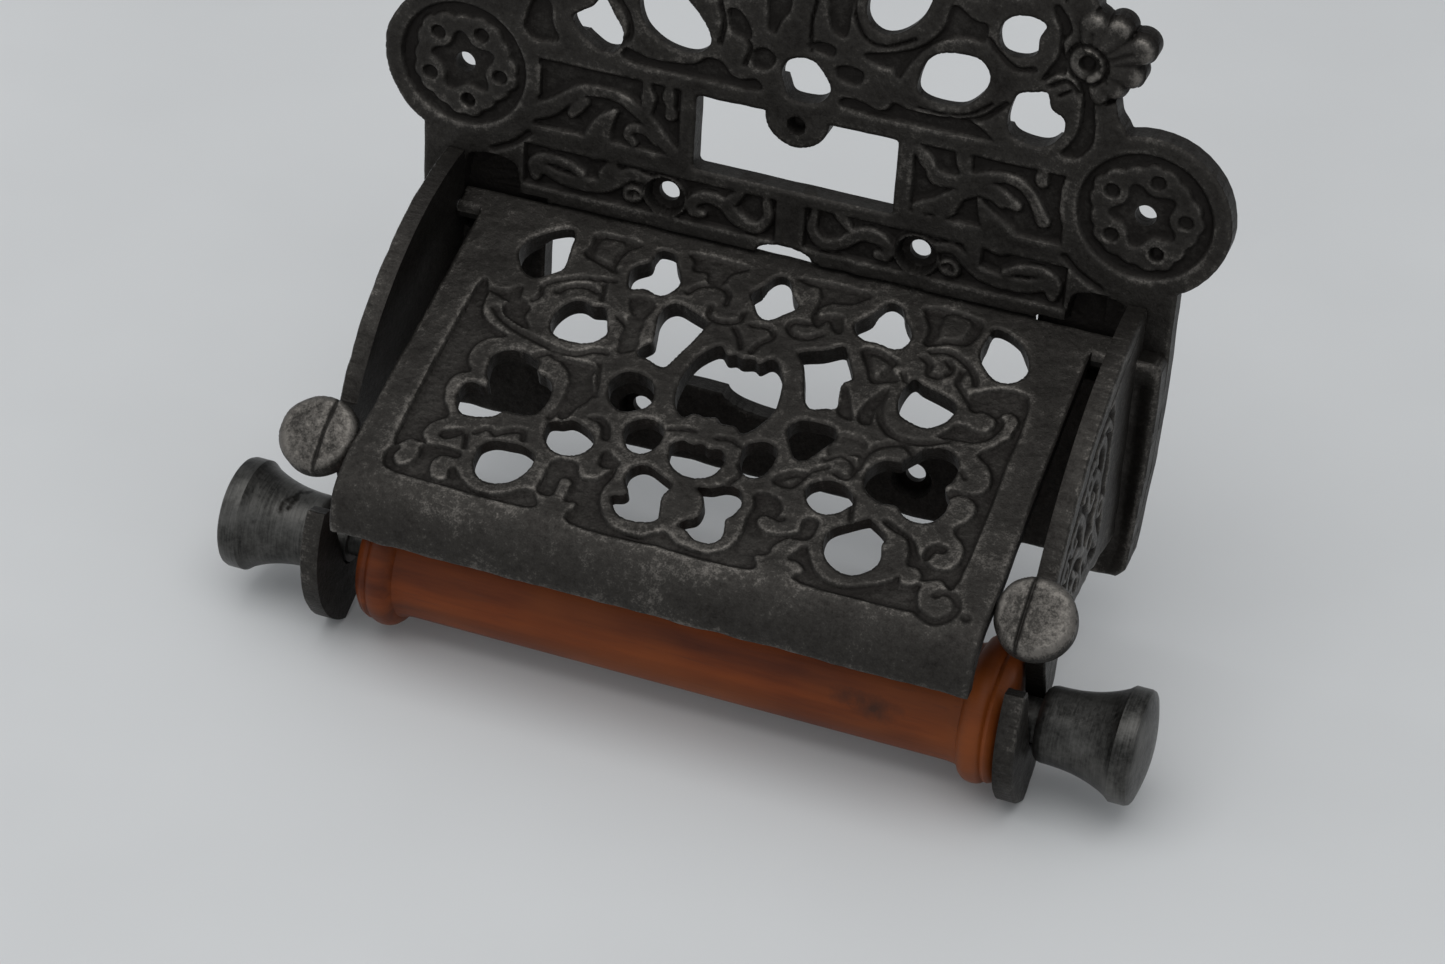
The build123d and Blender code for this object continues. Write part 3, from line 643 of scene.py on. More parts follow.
def plate_sheet():
    """The backplate: u is x and v is up. The crest is hollow behind, inside its rim."""
    sheet = Sheet((PLATE_LOW[0] - 1, PLATE_HIGH[0] + 1), (PLATE_LOW[2] - 1, PLATE_HIGH[2] + 1))
    add_plate_outline(sheet)
    hollow = (sheet.V > 12.5) & (sheet.inside > 3.4) & (np.abs(sheet.U) < 62)
    for outline in CREST_RIGHT + CREST_LEFT + CREST_MIDDLE:
        sheet.pierce(smooth(outline, closed=True))
    cut_plate_window(sheet)
    add_plate_relief(sheet)
    cut_plate_opening(sheet)
    by_lid = (np.abs(sheet.V - LIP_Z) < 3) & (np.abs(sheet.U) > 7) & (np.abs(sheet.U) < 54)
    heads = [np.hypot(np.abs(sheet.U) - ARM_SCREW_X, sheet.V - z) < ARM_SCREW_R for z in ARM_SCREW_ZS]
    back = np.where(heads[0] | heads[1], ARM_SCREW_SINK, np.where(hollow, CREST_HOLLOW, 0.0))
    sheet.shape(PLATE_T, PLATE_RELIEF, back, np.where(by_lid, 0.25, 0.8))
    cut_plate_pockets(sheet)
    return sheet


def deep_pocket(sheet, outline, floor):
    """Cut straight down to a floor height."""
    w = sheet.window(outline, 1)
    within = step_up(0.5 + sheet.signed(outline, w) / 0.7)
    sheet.top[w] = np.minimum(sheet.top[w], sheet.top[w] * (1 - within) + floor * within)
    # The pocket floor is painted darker, as shade.
    sheet.crease_shade_and_wear[w] *= 1 - 0.6 * within
    sheet.ground[w] = np.maximum(sheet.ground[w], 0.7 * within)


def make_backplate():
    sheet = plate_sheet()
    # The plate is made a little darker all over.
    sheet.crease_shade_and_wear = np.clip(sheet.crease_shade_and_wear - 0.10, 0, 1)
    obj = sheet_mesh("backplate_cast", sheet, lambda u, v, h: np.column_stack([u, -h, v]))
    finish_piece(obj, "bracket", ["backplate"], cast_iron())


# ---------------------------------------------------------------- lid
LID_SLOPE = radians(19.7)
LID_TOP, LID_T = 2.0, 3.0
LID_HALF_W, EAR_X, TAIL_X = 65.7, 70.9, 52.0
LID_STRAIGHT, EAR_TAIL, LID_TAIL = 69.4, 4.0, 5.2
PATTERN_V = -1.4
LID_EXTRA_T, EAR_R = 1.5, 2
SKIRT_R, SKIRT_ANGLE = 12.1, radians(80)
LID_FRONT = -(LID_STRAIGHT + SKIRT_R * SKIRT_ANGLE)
LID_FLARE = [(0.4, LID_FRONT), (0.7, -79), (0.75, -62), (0.4, -42), (0.1, -20), (0, EAR_TAIL)]
# The lid's ornament, laid flat: openings, then (outline, level) pockets and leaves, then (path, radius) cuts.
LID_HOLES = [
    [(45.6, 0.6), (48, 0.6), (51.5, -1.2), (54.2, -4.5), (55.3, -8), (54, -10.8), (51, -12), (48, -10.6),
     (45.4, -7.6), (44.8, -4.5), (45.2, -1.5)],
    [(24.5, 1.2), (26.6, 0.2), (27.6, -1.8), (29.6, -4.2), (30.6, -6.6), (29.6, -9.2), (27.6, -10),
     (24.4, -9.5), (21.4, -9.6), (19.4, -8.2), (18.6, -6), (20.6, -3.6), (22.2, -0.8), (23, 0.6)],
    [(34.4, -16.2), (36.4, -17), (40.6, -18.2), (44, -19.6), (44.7, -22), (43.4, -25), (40.4, -27.3),
     (37.4, -27), (34.6, -25.6), (33.2, -22.6), (33.3, -19)],
    [(10.4, -16.6), (14.8, -14.6), (18.2, -12.4), (19.4, -13.4), (21.2, -16.6), (22.6, -19.6), (21.2, -21.6),
     (21.6, -24.6), (22, -27.6), (19.8, -28.4), (17.4, -29.3), (15.6, -27.6), (14.2, -24), (12.4, -19.4)],
    [(15.4, -33.6), (17.4, -32.4), (22.8, -32.4), (24.4, -34.2), (23, -38), (20.6, -41.6), (18.4, -41.7),
     (16.2, -38.6), (14.7, -35.8)],
    [(9.6, -40.6), (12, -39.8), (14.4, -41), (15, -44), (14, -47.6), (11.6, -49), (9.4, -47.6), (8.2, -44.4),
     (8.2, -42)],
    [(24.2, -46.4), (26.6, -45.1), (29.6, -45.2), (32, -46.8), (32.8, -49), (31, -51.8), (28, -53.2),
     (25, -51.8), (23.3, -49.2), (23.3, -47.8)],
    [(39.3, -35.6), (38.4, -36.8), (36, -37), (34, -38.6), (33, -41), (33.4, -43.6), (35, -45.8),
     (38, -47.3), (41, -47), (43, -48.6), (45.8, -49.7), (48.6, -49), (50.4, -46.6), (50.8, -44.4),
     (50.2, -42), (48.8, -40), (49.6, -38.4), (49.8, -35.8), (49.4, -33.6), (48, -31.8), (45.4, -31),
     (42.6, -31.8), (40.8, -33.6)],
    [(30.6, -57.6), (31.6, -55.6), (34, -53.8), (37, -51.6), (38, -51.9), (40.6, -53.6), (41.9, -55.2),
     (41.6, -57), (42.4, -60.4), (41, -63.4), (38.4, -65.3), (35.4, -65), (32.6, -63.4), (31, -60.6)],
    [(2.8, -54.4), (5.6, -53.6), (8, -52.2), (10.4, -52.3), (11.8, -53.8), (12.5, -56), (11.9, -58.2),
     (10.8, -60), (11.2, -62), (11.4, -64.4), (9.6, -66.2), (6.6, -66.3), (4.6, -65), (2.6, -64.2),
     (3.2, -62.6), (5.2, -61.2), (5.6, -58.6), (4.8, -56.2)],
    [(-45.2, 0.6), (-44, -1.2), (-43.6, -4), (-43.2, -7.4), (-43.3, -9.8), (-44.8, -11.5), (-47.6, -13.6),
     (-50.4, -13), (-52.4, -10.6), (-53.6, -8), (-53, -5), (-50.6, -2.4), (-47.6, -0.2)],
    [(-25.6, 0.6), (-22.6, 0.4), (-21.6, -1.8), (-20, -4), (-19, -7), (-20.2, -9.8), (-22.2, -10.8),
     (-25, -10), (-28, -10.8), (-29, -9.4), (-29.7, -6.6), (-29, -4.8), (-26.8, -3), (-26.2, -0.8)],
    [(-38.2, -17.4), (-36, -16.7), (-33.6, -17.4), (-31.2, -17), (-30.2, -18.6), (-29, -21.4),
     (-28.4, -23.6), (-30.4, -26.2), (-33, -27.2), (-37, -27.2), (-39.4, -25.8), (-40.4, -22.8),
     (-39.8, -19.6)],
    [(-19.4, -13), (-17.4, -11.6), (-14, -12.6), (-10, -14.2), (-9.8, -15.6), (-11, -19.4), (-12.4, -23.6),
     (-13.8, -27.4), (-15.2, -28), (-18.2, -27), (-20.4, -26.6), (-20.6, -24.8), (-18.8, -22.4),
     (-19.2, -19.6), (-20, -16)],
    [(-23.2, -34.4), (-21.4, -31.6), (-18.8, -30.9), (-15.8, -31.8), (-14, -34), (-13.4, -37.4),
     (-15.4, -39.8), (-18, -41), (-20.6, -40), (-22.4, -37.6)],
    [(-15.8, -43.4), (-13.6, -41.6), (-11, -41.3), (-8.6, -42.8), (-8, -45), (-8.8, -48), (-10.8, -49.8),
     (-13.2, -49.6), (-15.2, -47.4), (-16, -45.2)],
    [(-30.8, -47.6), (-28.6, -46.9), (-26.6, -46), (-23.6, -47), (-21.4, -48.6), (-20.6, -50.6),
     (-22, -53.2), (-25, -54.6), (-28, -54), (-30.2, -52), (-31.1, -49.6)],
    [(-48.2, -35.2), (-46, -33.2), (-42.8, -32.7), (-40, -33.4), (-38.6, -34.2), (-38, -36.6),
     (-35.8, -37.4), (-34, -39), (-33.2, -42), (-33.6, -45), (-35, -47.2), (-38, -48), (-40.4, -48),
     (-42, -49.6), (-44.6, -50.8), (-48, -51), (-50, -49.4), (-51.2, -46.8), (-51, -44), (-49.6, -43),
     (-46.8, -43.2), (-46.4, -42), (-47.6, -40), (-48.2, -37.6)],
    [(-41.6, -57), (-39.6, -55.4), (-36.6, -55), (-33.6, -55), (-30.8, -56.4), (-30.2, -58.6),
     (-30.8, -61.4), (-32.8, -64.2), (-36, -65.4), (-39.2, -64.8), (-41.4, -62), (-41.9, -59)],
    [(-11.4, -54.4), (-10, -52.6), (-8, -52.3), (-5, -53.6), (-2.4, -54.9), (-2.2, -56.4), (-3, -58.6),
     (-2.4, -61.6), (-2, -64), (-4, -65.3), (-7, -65.6), (-9.6, -65), (-11.4, -63.2), (-12.4, -61.2),
     (-10.4, -60.4), (-9.8, -59), (-11.2, -57)],
    [(0, -21.4), (2.2, -20.8), (3.8, -21.6), (5.6, -19.7), (7.6, -20.8), (9.4, -24), (10.4, -28),
     (10.6, -32), (9.4, -36), (6.8, -39.2), (4.6, -37.9), (2, -38.2), (0.4, -37), (-2, -37.6), (-4, -37.3),
     (-6, -38.8), (-8.2, -37), (-9.6, -33.4), (-9.8, -29), (-9, -24.6), (-7.4, -21.4), (-5.2, -19.5),
     (-3.2, -21.3), (-1.6, -20.8)],
    [(0.6, 1.3), (2.4, 0.4), (4, -2.6), (6.1, -5.4), (4, -8.2), (1.4, -10.5), (-0.8, -9.8), (-2.4, -7.6),
     (-4, -4.9), (-2.2, -2), (-1, 0.4)],
    [(0, -44), (1.6, -44.8), (3.8, -44.2), (5.4, -45.8), (5.6, -48), (4.4, -50.8), (1.6, -52.3),
     (-1.6, -52.2), (-4.2, -50.6), (-5.6, -48), (-5.8, -45.8), (-4.2, -44.3), (-1.8, -44.6)],
]
LID_POCKETS = [
    ([(46.4, -16.8), (49.2, -14.8), (54, -13.5), (58.1, -15.8), (58.4, -31), (57.2, -25), (57.5, -20.8),
      (55.8, -18.9), (53.8, -19.6), (53.4, -21.6), (52.6, -21), (50, -20.2), (48.6, -20.8), (47.2, -20.2),
      (46.6, -18.6)], 0),
    ([(43.6, -28.6), (45.4, -26), (46, -24.8), (48, -24.6), (50, -25.2), (52.4, -24.8), (53.3, -22.8),
      (53.2, -21), (54, -20.6), (54.9, -22.2), (53.6, -26), (50.6, -28), (46, -28.4)], 0),
    ([(58.4, -29), (58.4, -60.5), (55, -61.2), (52.6, -62.2), (51.3, -62.6), (51.3, -61.6), (50, -60),
      (47.8, -59.8), (47.2, -57), (45.6, -54), (42.6, -53), (40, -51.4), (41, -51), (44, -52.4), (47, -54),
      (49, -56.8), (50.6, -58), (53.2, -59.2), (55.7, -58.7), (57.2, -55.6), (56.6, -52.4), (53.9, -49.9),
      (54.3, -48), (56.1, -45.8), (56.1, -42.8), (53.8, -41), (51.8, -41.2), (50.2, -42.6), (49.8, -40.4),
      (53.4, -40.4), (56.2, -39.4), (57, -36.4), (55.2, -32.8), (52.4, -30.6), (54.8, -28), (57.2, -25)], 0),
    ([(50, -57.4), (50.2, -55), (51.6, -53.5), (53.8, -53.9), (53.4, -55.3), (51.8, -55.6), (51.2, -57.6)],
      0),
    ([(14.2, -52.6), (16.6, -51.9), (18.8, -52.4), (20.4, -54.2), (20.4, -56.2), (22, -56.3), (21, -57.4),
      (19.2, -57), (17.2, -57), (16.7, -58.7), (18.2, -60.3), (21, -60.7), (23.8, -59.8), (25.4, -58.4),
      (25.4, -55.2), (28.2, -55.2), (28, -59.4), (26, -60.4), (23.8, -60.7), (21.9, -63), (21.2, -65.6),
      (19.1, -66.6), (18.9, -69.9), (0, -69.9), (0, -66.6), (1.4, -66.8), (4, -68.4), (9, -69), (12, -67.8),
      (14.2, -65.6), (15, -62), (14.6, -58.6), (15, -55.6)], 0),
    ([(29.6, -69.9), (29.4, -67), (27.6, -65.5), (25.6, -65.3), (26.4, -63.2), (27.8, -61.4), (28.6, -62.6),
      (31, -66), (34, -68), (38, -68.4), (42, -66.8), (46, -64.4), (47, -62.8), (47.8, -64.4), (50, -64.4),
      (51.6, -63.4), (51.8, -66), (53, -69), (53.6, -69.9)], 0),
    ([(4.6, 1.8), (18.8, 2.1), (17, -1.2), (14.6, -2.2), (12.4, -2.6), (10.4, -4.6), (11, -6.5), (13, -5.6),
      (15.6, -5.4), (16.8, -9.4), (15.2, -9.4), (13.2, -7.2), (11.8, -9.4), (10.2, -8.2), (9.6, -5.4),
      (9.8, -2), (8.6, 0.4), (6.2, 0.6)], 0.25),
    ([(31.2, 2), (42.6, 1.6), (42.2, -4.6), (38, -5.8), (33.8, -7.4), (33.2, -3)], 0.1),
    ([(22.2, -12.6), (24.8, -11.3), (29.8, -13), (29.4, -15.2), (31.8, -17.4), (29.6, -18.6), (26.6, -19.6),
      (24.4, -16)], 0.1),
    ([(21.4, -21.6), (23, -23), (25.2, -27.4), (26, -29.8), (22.8, -28.8), (22.2, -25)], 0.15),
    ([(30.4, -20), (28.6, -22.6), (26.8, -27), (27.6, -29.8), (29.8, -29.6), (29.6, -26.4), (30.2, -23)],
      0.15),
    ([(24.6, -33.6), (30.6, -34), (30.8, -37.6), (27, -38.4), (24.8, -39.6), (23.8, -37)], 0.45),
    ([(16.4, -47.8), (18.6, -45.4), (22, -44.6), (23, -44), (21.6, -47.4), (20.4, -49.2), (17.2, -49.2)],
      0.1),
    ([(-58.3, -19.8), (-55.7, -20), (-55.3, -23), (-54.4, -26), (-51, -28.4), (-47.4, -29.8), (-50.8, -31.4),
      (-52.9, -34.8), (-52.6, -38.2), (-51, -40.4), (-53.2, -41.8), (-54.3, -45), (-53.2, -48.8),
      (-50.8, -52.2), (-53.4, -55), (-54.1, -58), (-52.4, -60), (-55.6, -59.7), (-58.9, -59.4)], 0),
    ([(-52.4, -60.4), (-45.4, -60), (-44.8, -61.6), (-48, -61.9), (-49.4, -63.6), (-49.2, -66),
      (-47.6, -67.9), (-45.2, -67.2), (-45.4, -64.6), (-44.4, -64.2), (-42, -66.4), (-38.4, -68.2),
      (-34, -68), (-30, -65.4), (-28, -64.8), (-27.3, -65), (-27.5, -68.9), (-52.6, -68.6), (-55.6, -68.4),
      (-58.2, -67.4), (-59.2, -64.8), (-58.4, -62.6), (-56.8, -62.6), (-57.4, -64.8), (-56, -66.7),
      (-53.8, -66), (-52.6, -63.4)], 0),
    ([(-27, -61.6), (-26.7, -57.2), (-25.4, -55.8), (-22, -55.8), (-20.6, -58.2), (-19.4, -59), (-17, -58.6),
      (-15.6, -57), (-14.2, -54.2), (-13.9, -57), (-14.7, -60), (-14.2, -63.4), (-11.6, -67), (-8, -68.8),
      (-3.6, -69), (0, -66.8), (0, -69.9), (-18, -69.9), (-18.2, -65.2), (-20.8, -65.1), (-21, -60.6),
      (-23.4, -60.2), (-23.6, -64.6), (-26.8, -64.6)], 0),
    ([(-17.8, -51.4), (-15.4, -52.4), (-13.6, -53.8), (-15.6, -55.2), (-17.6, -54.8)], 0.1),
    ([(-49, -20.4), (-46.4, -21), (-45.6, -22.4), (-46, -24), (-44, -26.6), (-47, -26.2), (-50.4, -24.4),
      (-50.8, -22)], 0.1),
    ([(-57.6, -19.2), (-52, -18.6), (-49.4, -16.6), (-48.6, -19.6), (-46.6, -20.4), (-50, -21.4),
      (-54, -20.2)], 0.25),
    ([(-25.6, -17.8), (-22.6, -17.4), (-21.8, -21.6), (-21.2, -25.6), (-24.4, -27.2), (-25, -23)], 0.35),
    ([(-27, -13), (-23.4, -12.2), (-21.4, -14.2), (-22.8, -18), (-25.4, -17)], 0.3),
    ([(-39.2, 1.2), (-30, 0.8), (-32.2, -2), (-33, -6.4), (-32, -7.8), (-36.4, -6.6), (-40.2, -5.2),
      (-39.8, -2)], 0.1),
    ([(-19, 1.6), (-7, 1.4), (-9.6, -1.4), (-10.6, -4.6), (-13.4, -4.8), (-14.6, -2.4), (-17.4, -2.6),
      (-18, -0.4)], 0.25),
    ([(-36.6, -32.2), (-27.6, -32), (-27, -35), (-25, -39.2), (-27, -43), (-28, -46), (-29.8, -46),
      (-29.4, -40), (-31.6, -35.6), (-34.4, -33)], 0.15),
    ([(-23.6, -44.6), (-21.4, -43.8), (-19, -45.4), (-18, -48.6), (-19.4, -48.6), (-20.6, -46), (-22, -45)],
      0.1),
    ([(-50.6, -57.4), (-50, -56), (-46.4, -54.8), (-47, -56.6), (-49, -57.8)], 0),
]
LID_LEAVES = [
    ([(35.4, 1.6), (40.8, 1.2), (40.4, -3.6), (37, -4.6), (35.6, -5)], 0.6),
    ([(24.4, -12.8), (28.4, -13.8), (27.8, -16), (26.6, -17.8)], 0.6),
    ([(18.4, -47.8), (20, -46.2), (21.4, -45.8), (20, -48.2)], 0.6),
    ([(-38.2, 0.2), (-33.6, 0.4), (-34.2, -3), (-34.4, -5.6), (-38.4, -4.4)], 0.6),
    ([(-42.6, -21.4), (-45.4, -21.6), (-45.8, -23.6), (-44, -25.2), (-42.4, -24.6)], 1),
]
LID_CUTS = [
    ([(9.8, -9), (7, -9.4), (6.2, -11.2), (8, -12.8), (11, -12.6), (13, -11)], 0.6),
    ([(35.6, -8.6), (38.8, -7.8), (42.4, -9.2), (45.4, -11.8), (46.4, -14)], 0.65),
    ([(34.6, -10.6), (36.2, -11.8), (36.8, -14), (38.8, -14.4)], 0.7),
    ([(39.4, -10), (40.8, -11.6), (40.4, -13.4)], 0.6),
    ([(43, -11.8), (43, -14.6), (45, -16.8), (46.6, -18.6)], 0.6),
    ([(31.8, -15.4), (33, -17.2)], 0.6),
    ([(30.2, -21.4), (30.2, -24.6), (31.4, -28), (34, -30.6), (37.6, -31.6), (42, -30.8), (45.6, -29)], 0.7),
    ([(31.2, -40.6), (31.4, -37.6), (32.4, -35.4), (34.8, -33.4), (38, -32.6), (40, -33.8)], 0.75),
    ([(24.6, -40.4), (27, -38.6), (29.8, -39.6), (30.7, -42), (29.6, -43.8), (27.4, -43.2)], 0.6),
    ([(23, -43.8), (25.4, -42.2)], 0.45),
    ([(32.9, -47.6), (33.4, -51), (34, -53)], 0.5),
    ([(2.2, -41.9), (5, -41.4), (7.4, -42.4)], 0.45),
    ([(8.6, -46.6), (9.7, -49.2), (8.4, -51.8)], 0.45),
    ([(-1, -12.8), (2.6, -12.5), (4, -14.4), (2, -16.8), (1.2, -19.4)], 0.55),
    ([(50.4, -35.2), (51.8, -36.8)], 0.5),
    ([(55.2, -65), (56.4, -63.9), (58.8, -64.4), (60, -66.6), (59.3, -69), (56.8, -70.8), (54, -70.2),
      (52.8, -69.4)], 0.8),
    ([(-52.6, -23.8), (-50, -26), (-46, -27.8), (-40, -29.6), (-36, -30.4), (-32, -30.2), (-29.2, -28.4),
      (-26.6, -28)], 0.7),
    ([(-44.8, -14.6), (-42, -12.6), (-38, -11), (-34.4, -10.4), (-31.6, -10)], 0.45),
    ([(-41.8, -16), (-40, -14), (-36.8, -13), (-34.2, -13.8)], 0.6),
    ([(-33.4, -11.4), (-32.4, -15.4)], 0.5),
    ([(-45.3, -15.4), (-45, -18), (-46, -19.6)], 0.5),
    ([(-27.6, -18.6), (-25.2, -20.6), (-24.8, -24)], 0.6),
    ([(-16.4, -8.4), (-14.6, -6), (-11, -5), (-8.4, -6.4), (-8, -9)], 0.6),
    ([(-10.6, -10.2), (-10.2, -13), (-7.4, -13.8), (-4, -12.6), (-3.6, -10)], 0.55),
    ([(-4.2, -14.4), (-2.2, -16.8), (-1.2, -19)], 0.55),
    ([(-26.8, -31), (-25.6, -35), (-24.6, -39)], 0.5),
    ([(-40, -33), (-37, -31.4), (-33.4, -32.8), (-30.8, -36), (-29.9, -40), (-30.2, -44), (-31.2, -46.8)],
      0.7),
    ([(-40, -54), (-37.6, -52.4), (-35, -51.8), (-34.2, -53.6)], 0.7),
    ([(-45.6, -55.4), (-44.6, -58.8)], 0.5),
    ([(-44, -54.8), (-42, -53.2), (-40.4, -53.8)], 0.5),
    ([(-2.4, -41.6), (-5, -41.8), (-7.6, -42.6)], 0.45),
    ([(62, -68.2), (62.4, -68.4)], 0.9),
]


def pattern(points):
    """Move the ornament from its own datum line to the hinge's."""
    return np.asarray(points, float) + (0, PATTERN_V)


def lid_sheet():
    """The lid laid flat: v runs from its tail, behind the hinge, down to its front edge."""
    sheet = Sheet((-EAR_X - 1, EAR_X + 1), (LID_FRONT - 1, LID_TAIL + 1))
    side = np.array(LID_FLARE) + (LID_HALF_W, 0)
    sheet.add(np.vstack([side, mirrored(side)]), 40)
    sheet.add(rectangle(-TAIL_X, TAIL_X, -10, LID_TAIL), 20)
    sheet.add(rectangle(-TAIL_X - 0.6, TAIL_X + 0.6, -10, LID_TAIL - 0.05), 20)
    sheet.add(rectangle(-EAR_X, EAR_X, -2, EAR_TAIL), 20)
    for outline in LID_HOLES:
        sheet.pierce(smooth(pattern(outline), closed=True, per=4))
    sheet.carve([(pattern(outline), level) for outline, level in LID_POCKETS], [])
    for outline, level in LID_LEAVES:
        sheet.plateau(smooth(pattern(outline), closed=True, per=4), 0.8, level)
    sheet.carve([], [(pattern(path), radius) for path, radius in LID_CUTS])
    from_front, from_hinge = np.clip((sheet.V + 66) / 46, 0.25, 1), step_up((-2.5 - sheet.V) / 2)
    thick = from_front * from_hinge * step_up((63.5 - np.abs(sheet.U)) / 3)
    underside = LID_TOP - LID_T - LID_EXTRA_T * thick * (sheet.V > -LID_STRAIGHT)
    sheet.shape(LID_TOP, LID_RELIEF, underside, np.where(sheet.V > 2.5, 0.25, 0.75))
    # The ears are rounded about the hinge's axis: below over their length, and above in front of it.
    ear = (np.abs(sheet.U) > TAIL_X) & (np.abs(sheet.V) < EAR_R)
    bulge = EAR_R**2 - sheet.V**2
    sheet.bottom = np.where(ear, -np.sqrt(np.clip(bulge, 1, EAR_R**2)), sheet.bottom)
    stub = (np.abs(sheet.U) > LID_HALF_W) & (sheet.V < 0) & (sheet.V > -4)
    sheet.top = np.where(stub, np.sqrt(np.clip(bulge, 0.2, EAR_R**2)), sheet.top)
    return sheet


def lid_place(u, v, h):
    """From the flat pattern, bent over the skirt, to the lid's place at rest."""
    turn = np.clip((-LID_STRAIGHT - v) / SKIRT_R, 0, None)
    radius = SKIRT_R + h - LID_TOP
    y = np.where(turn > 0, -LID_STRAIGHT - radius * np.sin(turn), v)
    z = np.where(turn > 0, LID_TOP - SKIRT_R + radius * np.cos(turn), h)
    c, s = cos(LID_SLOPE), sin(LID_SLOPE)
    return np.column_stack([u, HINGE[1] + c * y - s * z, HINGE[2] + s * y + c * z])


def make_lid():
    obj = sheet_mesh("lid_cast", lid_sheet(), lid_place)
    finish_piece(obj, "lid", ["lid"], cast_iron())


# ---------------------------------------------------------------- arms
ARM_T, FOOT_T = 4.0, 5.2
LIFT = direction(90 + 19.1)
BUTTON_CENTRE, CREASE_X = (74.5, -69.8, -51.0), 72.6
BUTTON_R, BUTTON_T, BUTTON_TILT = 8.0, 5.4, radians(38.3)
ARM_RAIL = [(-13, -19.6), (-22.5, -22.6), (-32.0, -27.4), (-41, -34), (-49.6, -42), (-57, -51.5)]
ARM_UNDER = [(-62.5, -100.8), (-54.8, -96.0), (-50.5, -87.0), (-45.0, -74.5), (-34.0, -68.2), (-4.5, -72.0)]


def slot_point(across, along):
    """Point of the jaw's slot, from the roller's axis."""
    return AXIS[1:] + LIFT * along + np.array([LIFT[1], -LIFT[0]]) * across


def arm_outline():
    """Side outline in y, z."""
    rail = arc_through((-4.5, -19.5), (-32.0, -27.4), (-57.0, -51.5), 24)
    top = [(-61.0, -49.6), (-70.0, -56.7), (-68.6, -60.6), slot_point(5, 23), slot_point(5, 0)]
    seat = arc_through(slot_point(5, 0), slot_point(0, -5), slot_point(-5, 0))
    hook = arc_through((-72.3, -68.9), (-76.0, -81.7), (-62.5, -100.8), 24)
    return np.vstack([rail, top, seat[1:], [slot_point(-5, 16.4)], hook, smooth(ARM_UNDER)[1:]])


ARM_GROUND = [(-24, -31.4), (-32, -33), (-41, -39.4), (-49, -47.4), (-54.6, -55), (-55.6, -60), (-51, -66),
              (-44, -66), (-34, -63.4), (-25.6, -63.6), (-23.4, -50)]
ARM_STROKES = [
    ([(-26, -62), (-30, -54), (-29, -46), (-33.4, -41.6), (-37, -44.6), (-35.2, -48.4), (-32.6, -47)],
      (1.5, 1.5, 1.3, 1.1)),
    ([(-29, -46), (-27, -40), (-29.6, -35.6), (-33.4, -36), (-33.4, -39)], (1.3, 1.3, 1.1)),
    ([(-33, -62), (-38, -56.6), (-44, -55.4), (-47.6, -59), (-45.2, -62.4), (-42, -60.6), (-43.4, -58.4)],
      (1.5, 1.5, 1.3, 1.1)),
    ([(-38, -56.6), (-38.4, -50.6), (-42.4, -46.4), (-46.8, -48.6), (-45.8, -52.4), (-43, -51.4)],
      (1.4, 1.4, 1.3, 1.0)),
    ([(-35.4, -38), (-39.4, -39.2), (-41, -43)], (1.2, 1.3, 1.0)),
    ([(-47, -50), (-51.6, -51.8), (-53, -56.4), (-50.6, -59.4)], (1.2, 1.4, 1.1)),
    ([(-36.4, -64.4), (-37, -60.4), (-33.6, -57)], (1.2, 1.3, 1.0)),
    ([(-24.4, -36), (-26.6, -33.4), (-30, -33.2)], (1.0, 1.2, 1.0)),
    ([(-52, -62), (-49.6, -64.8), (-46, -65.4)], (1.0, 1.2, 1.0)),
]
ARM_RINGS = ((-31.6, -58.4, 2.2), (-40.4, -63.2, 2.0), (-25.8, -53.6, 1.9), (-49.4, -54.6, 1.7),
             (-37.4, -41.6, 1.6))


def arm_sheet():
    """The arm's plate: u is the distance out from the wall and v is up."""
    sheet = Sheet((3.5, 78), (-103, -17))

    def flat(points):
        return np.asarray(points, float)[::-1] * (-1, 1)

    sheet.add(flat(arm_outline()), 40)
    sheet.sink(flat(smooth(ARM_GROUND, closed=True)))
    for points, radii in ARM_STROKES:
        sheet.stroke(flat(points), radii[::-1])
    for y, z, radius in ARM_RINGS:
        w = sheet.window(np.array([(-y, z)]), radius + 2)
        apart = np.hypot(sheet.U[w] + y, sheet.V[w] - z)
        sheet.raise_to(step_up((1.1 - np.abs(apart - radius)) / 0.7), w)
    sheet.groove(flat([(y + 1.6, z - 3.8) for y, z in ARM_RAIL]), 0.5, 0.55)
    sheet.shape(ARM_T, ARM_RELIEF, 0.0, round_edge=0.7)
    return sheet


def button_mesh(side):
    """Round button with one narrow and one wide lobe, either side of a crease."""
    sheet = Sheet((-9, 9), (-9, 9), 0.25)
    turn = np.linspace(0, 2 * pi, 60, endpoint=False)
    corner = np.degrees(turn) - (135 if side > 0 else 45)
    radii = BUTTON_R + 0.45 * np.exp(-((corner / 24) ** 2))
    sheet.add(np.column_stack([radii * np.cos(turn), radii * np.sin(turn)]), 9)
    crease = (CREASE_X - BUTTON_CENTRE[0]) * side
    across = (sheet.U - crease) * side
    sheet.shape(BUTTON_T, 0.0, 0.0, round_edge=1.5, waves=0.09)
    dome = 0.9 * (1 - (np.hypot(sheet.U, sheet.V) / BUTTON_R) ** 2)
    lean = np.where(across < 0, 0.07 * across, -0.015 * across)
    crack = np.exp(-((across / 0.35) ** 2))
    sheet.top += dome - 0.9 + lean - 0.55 * crack - 0.25 * step_up(0.5 + across)
    # The button is made lighter, as rubbed wear, and its crease is painted darker, as shade.
    sheet.crease_shade_and_wear = np.clip(sheet.crease_shade_and_wear + 0.24, 0, 1) * (1 - 0.6 * crack)
    c, s = cos(BUTTON_TILT), sin(BUTTON_TILT)
    x0, y0, z0 = BUTTON_CENTRE

    def place(u, v, h):
        low = h - BUTTON_T
        return np.column_stack([x0 * side + u, y0 + c * v - s * low, z0 + s * v + c * low])

    return sheet_mesh(f"button_{side}", sheet, place)


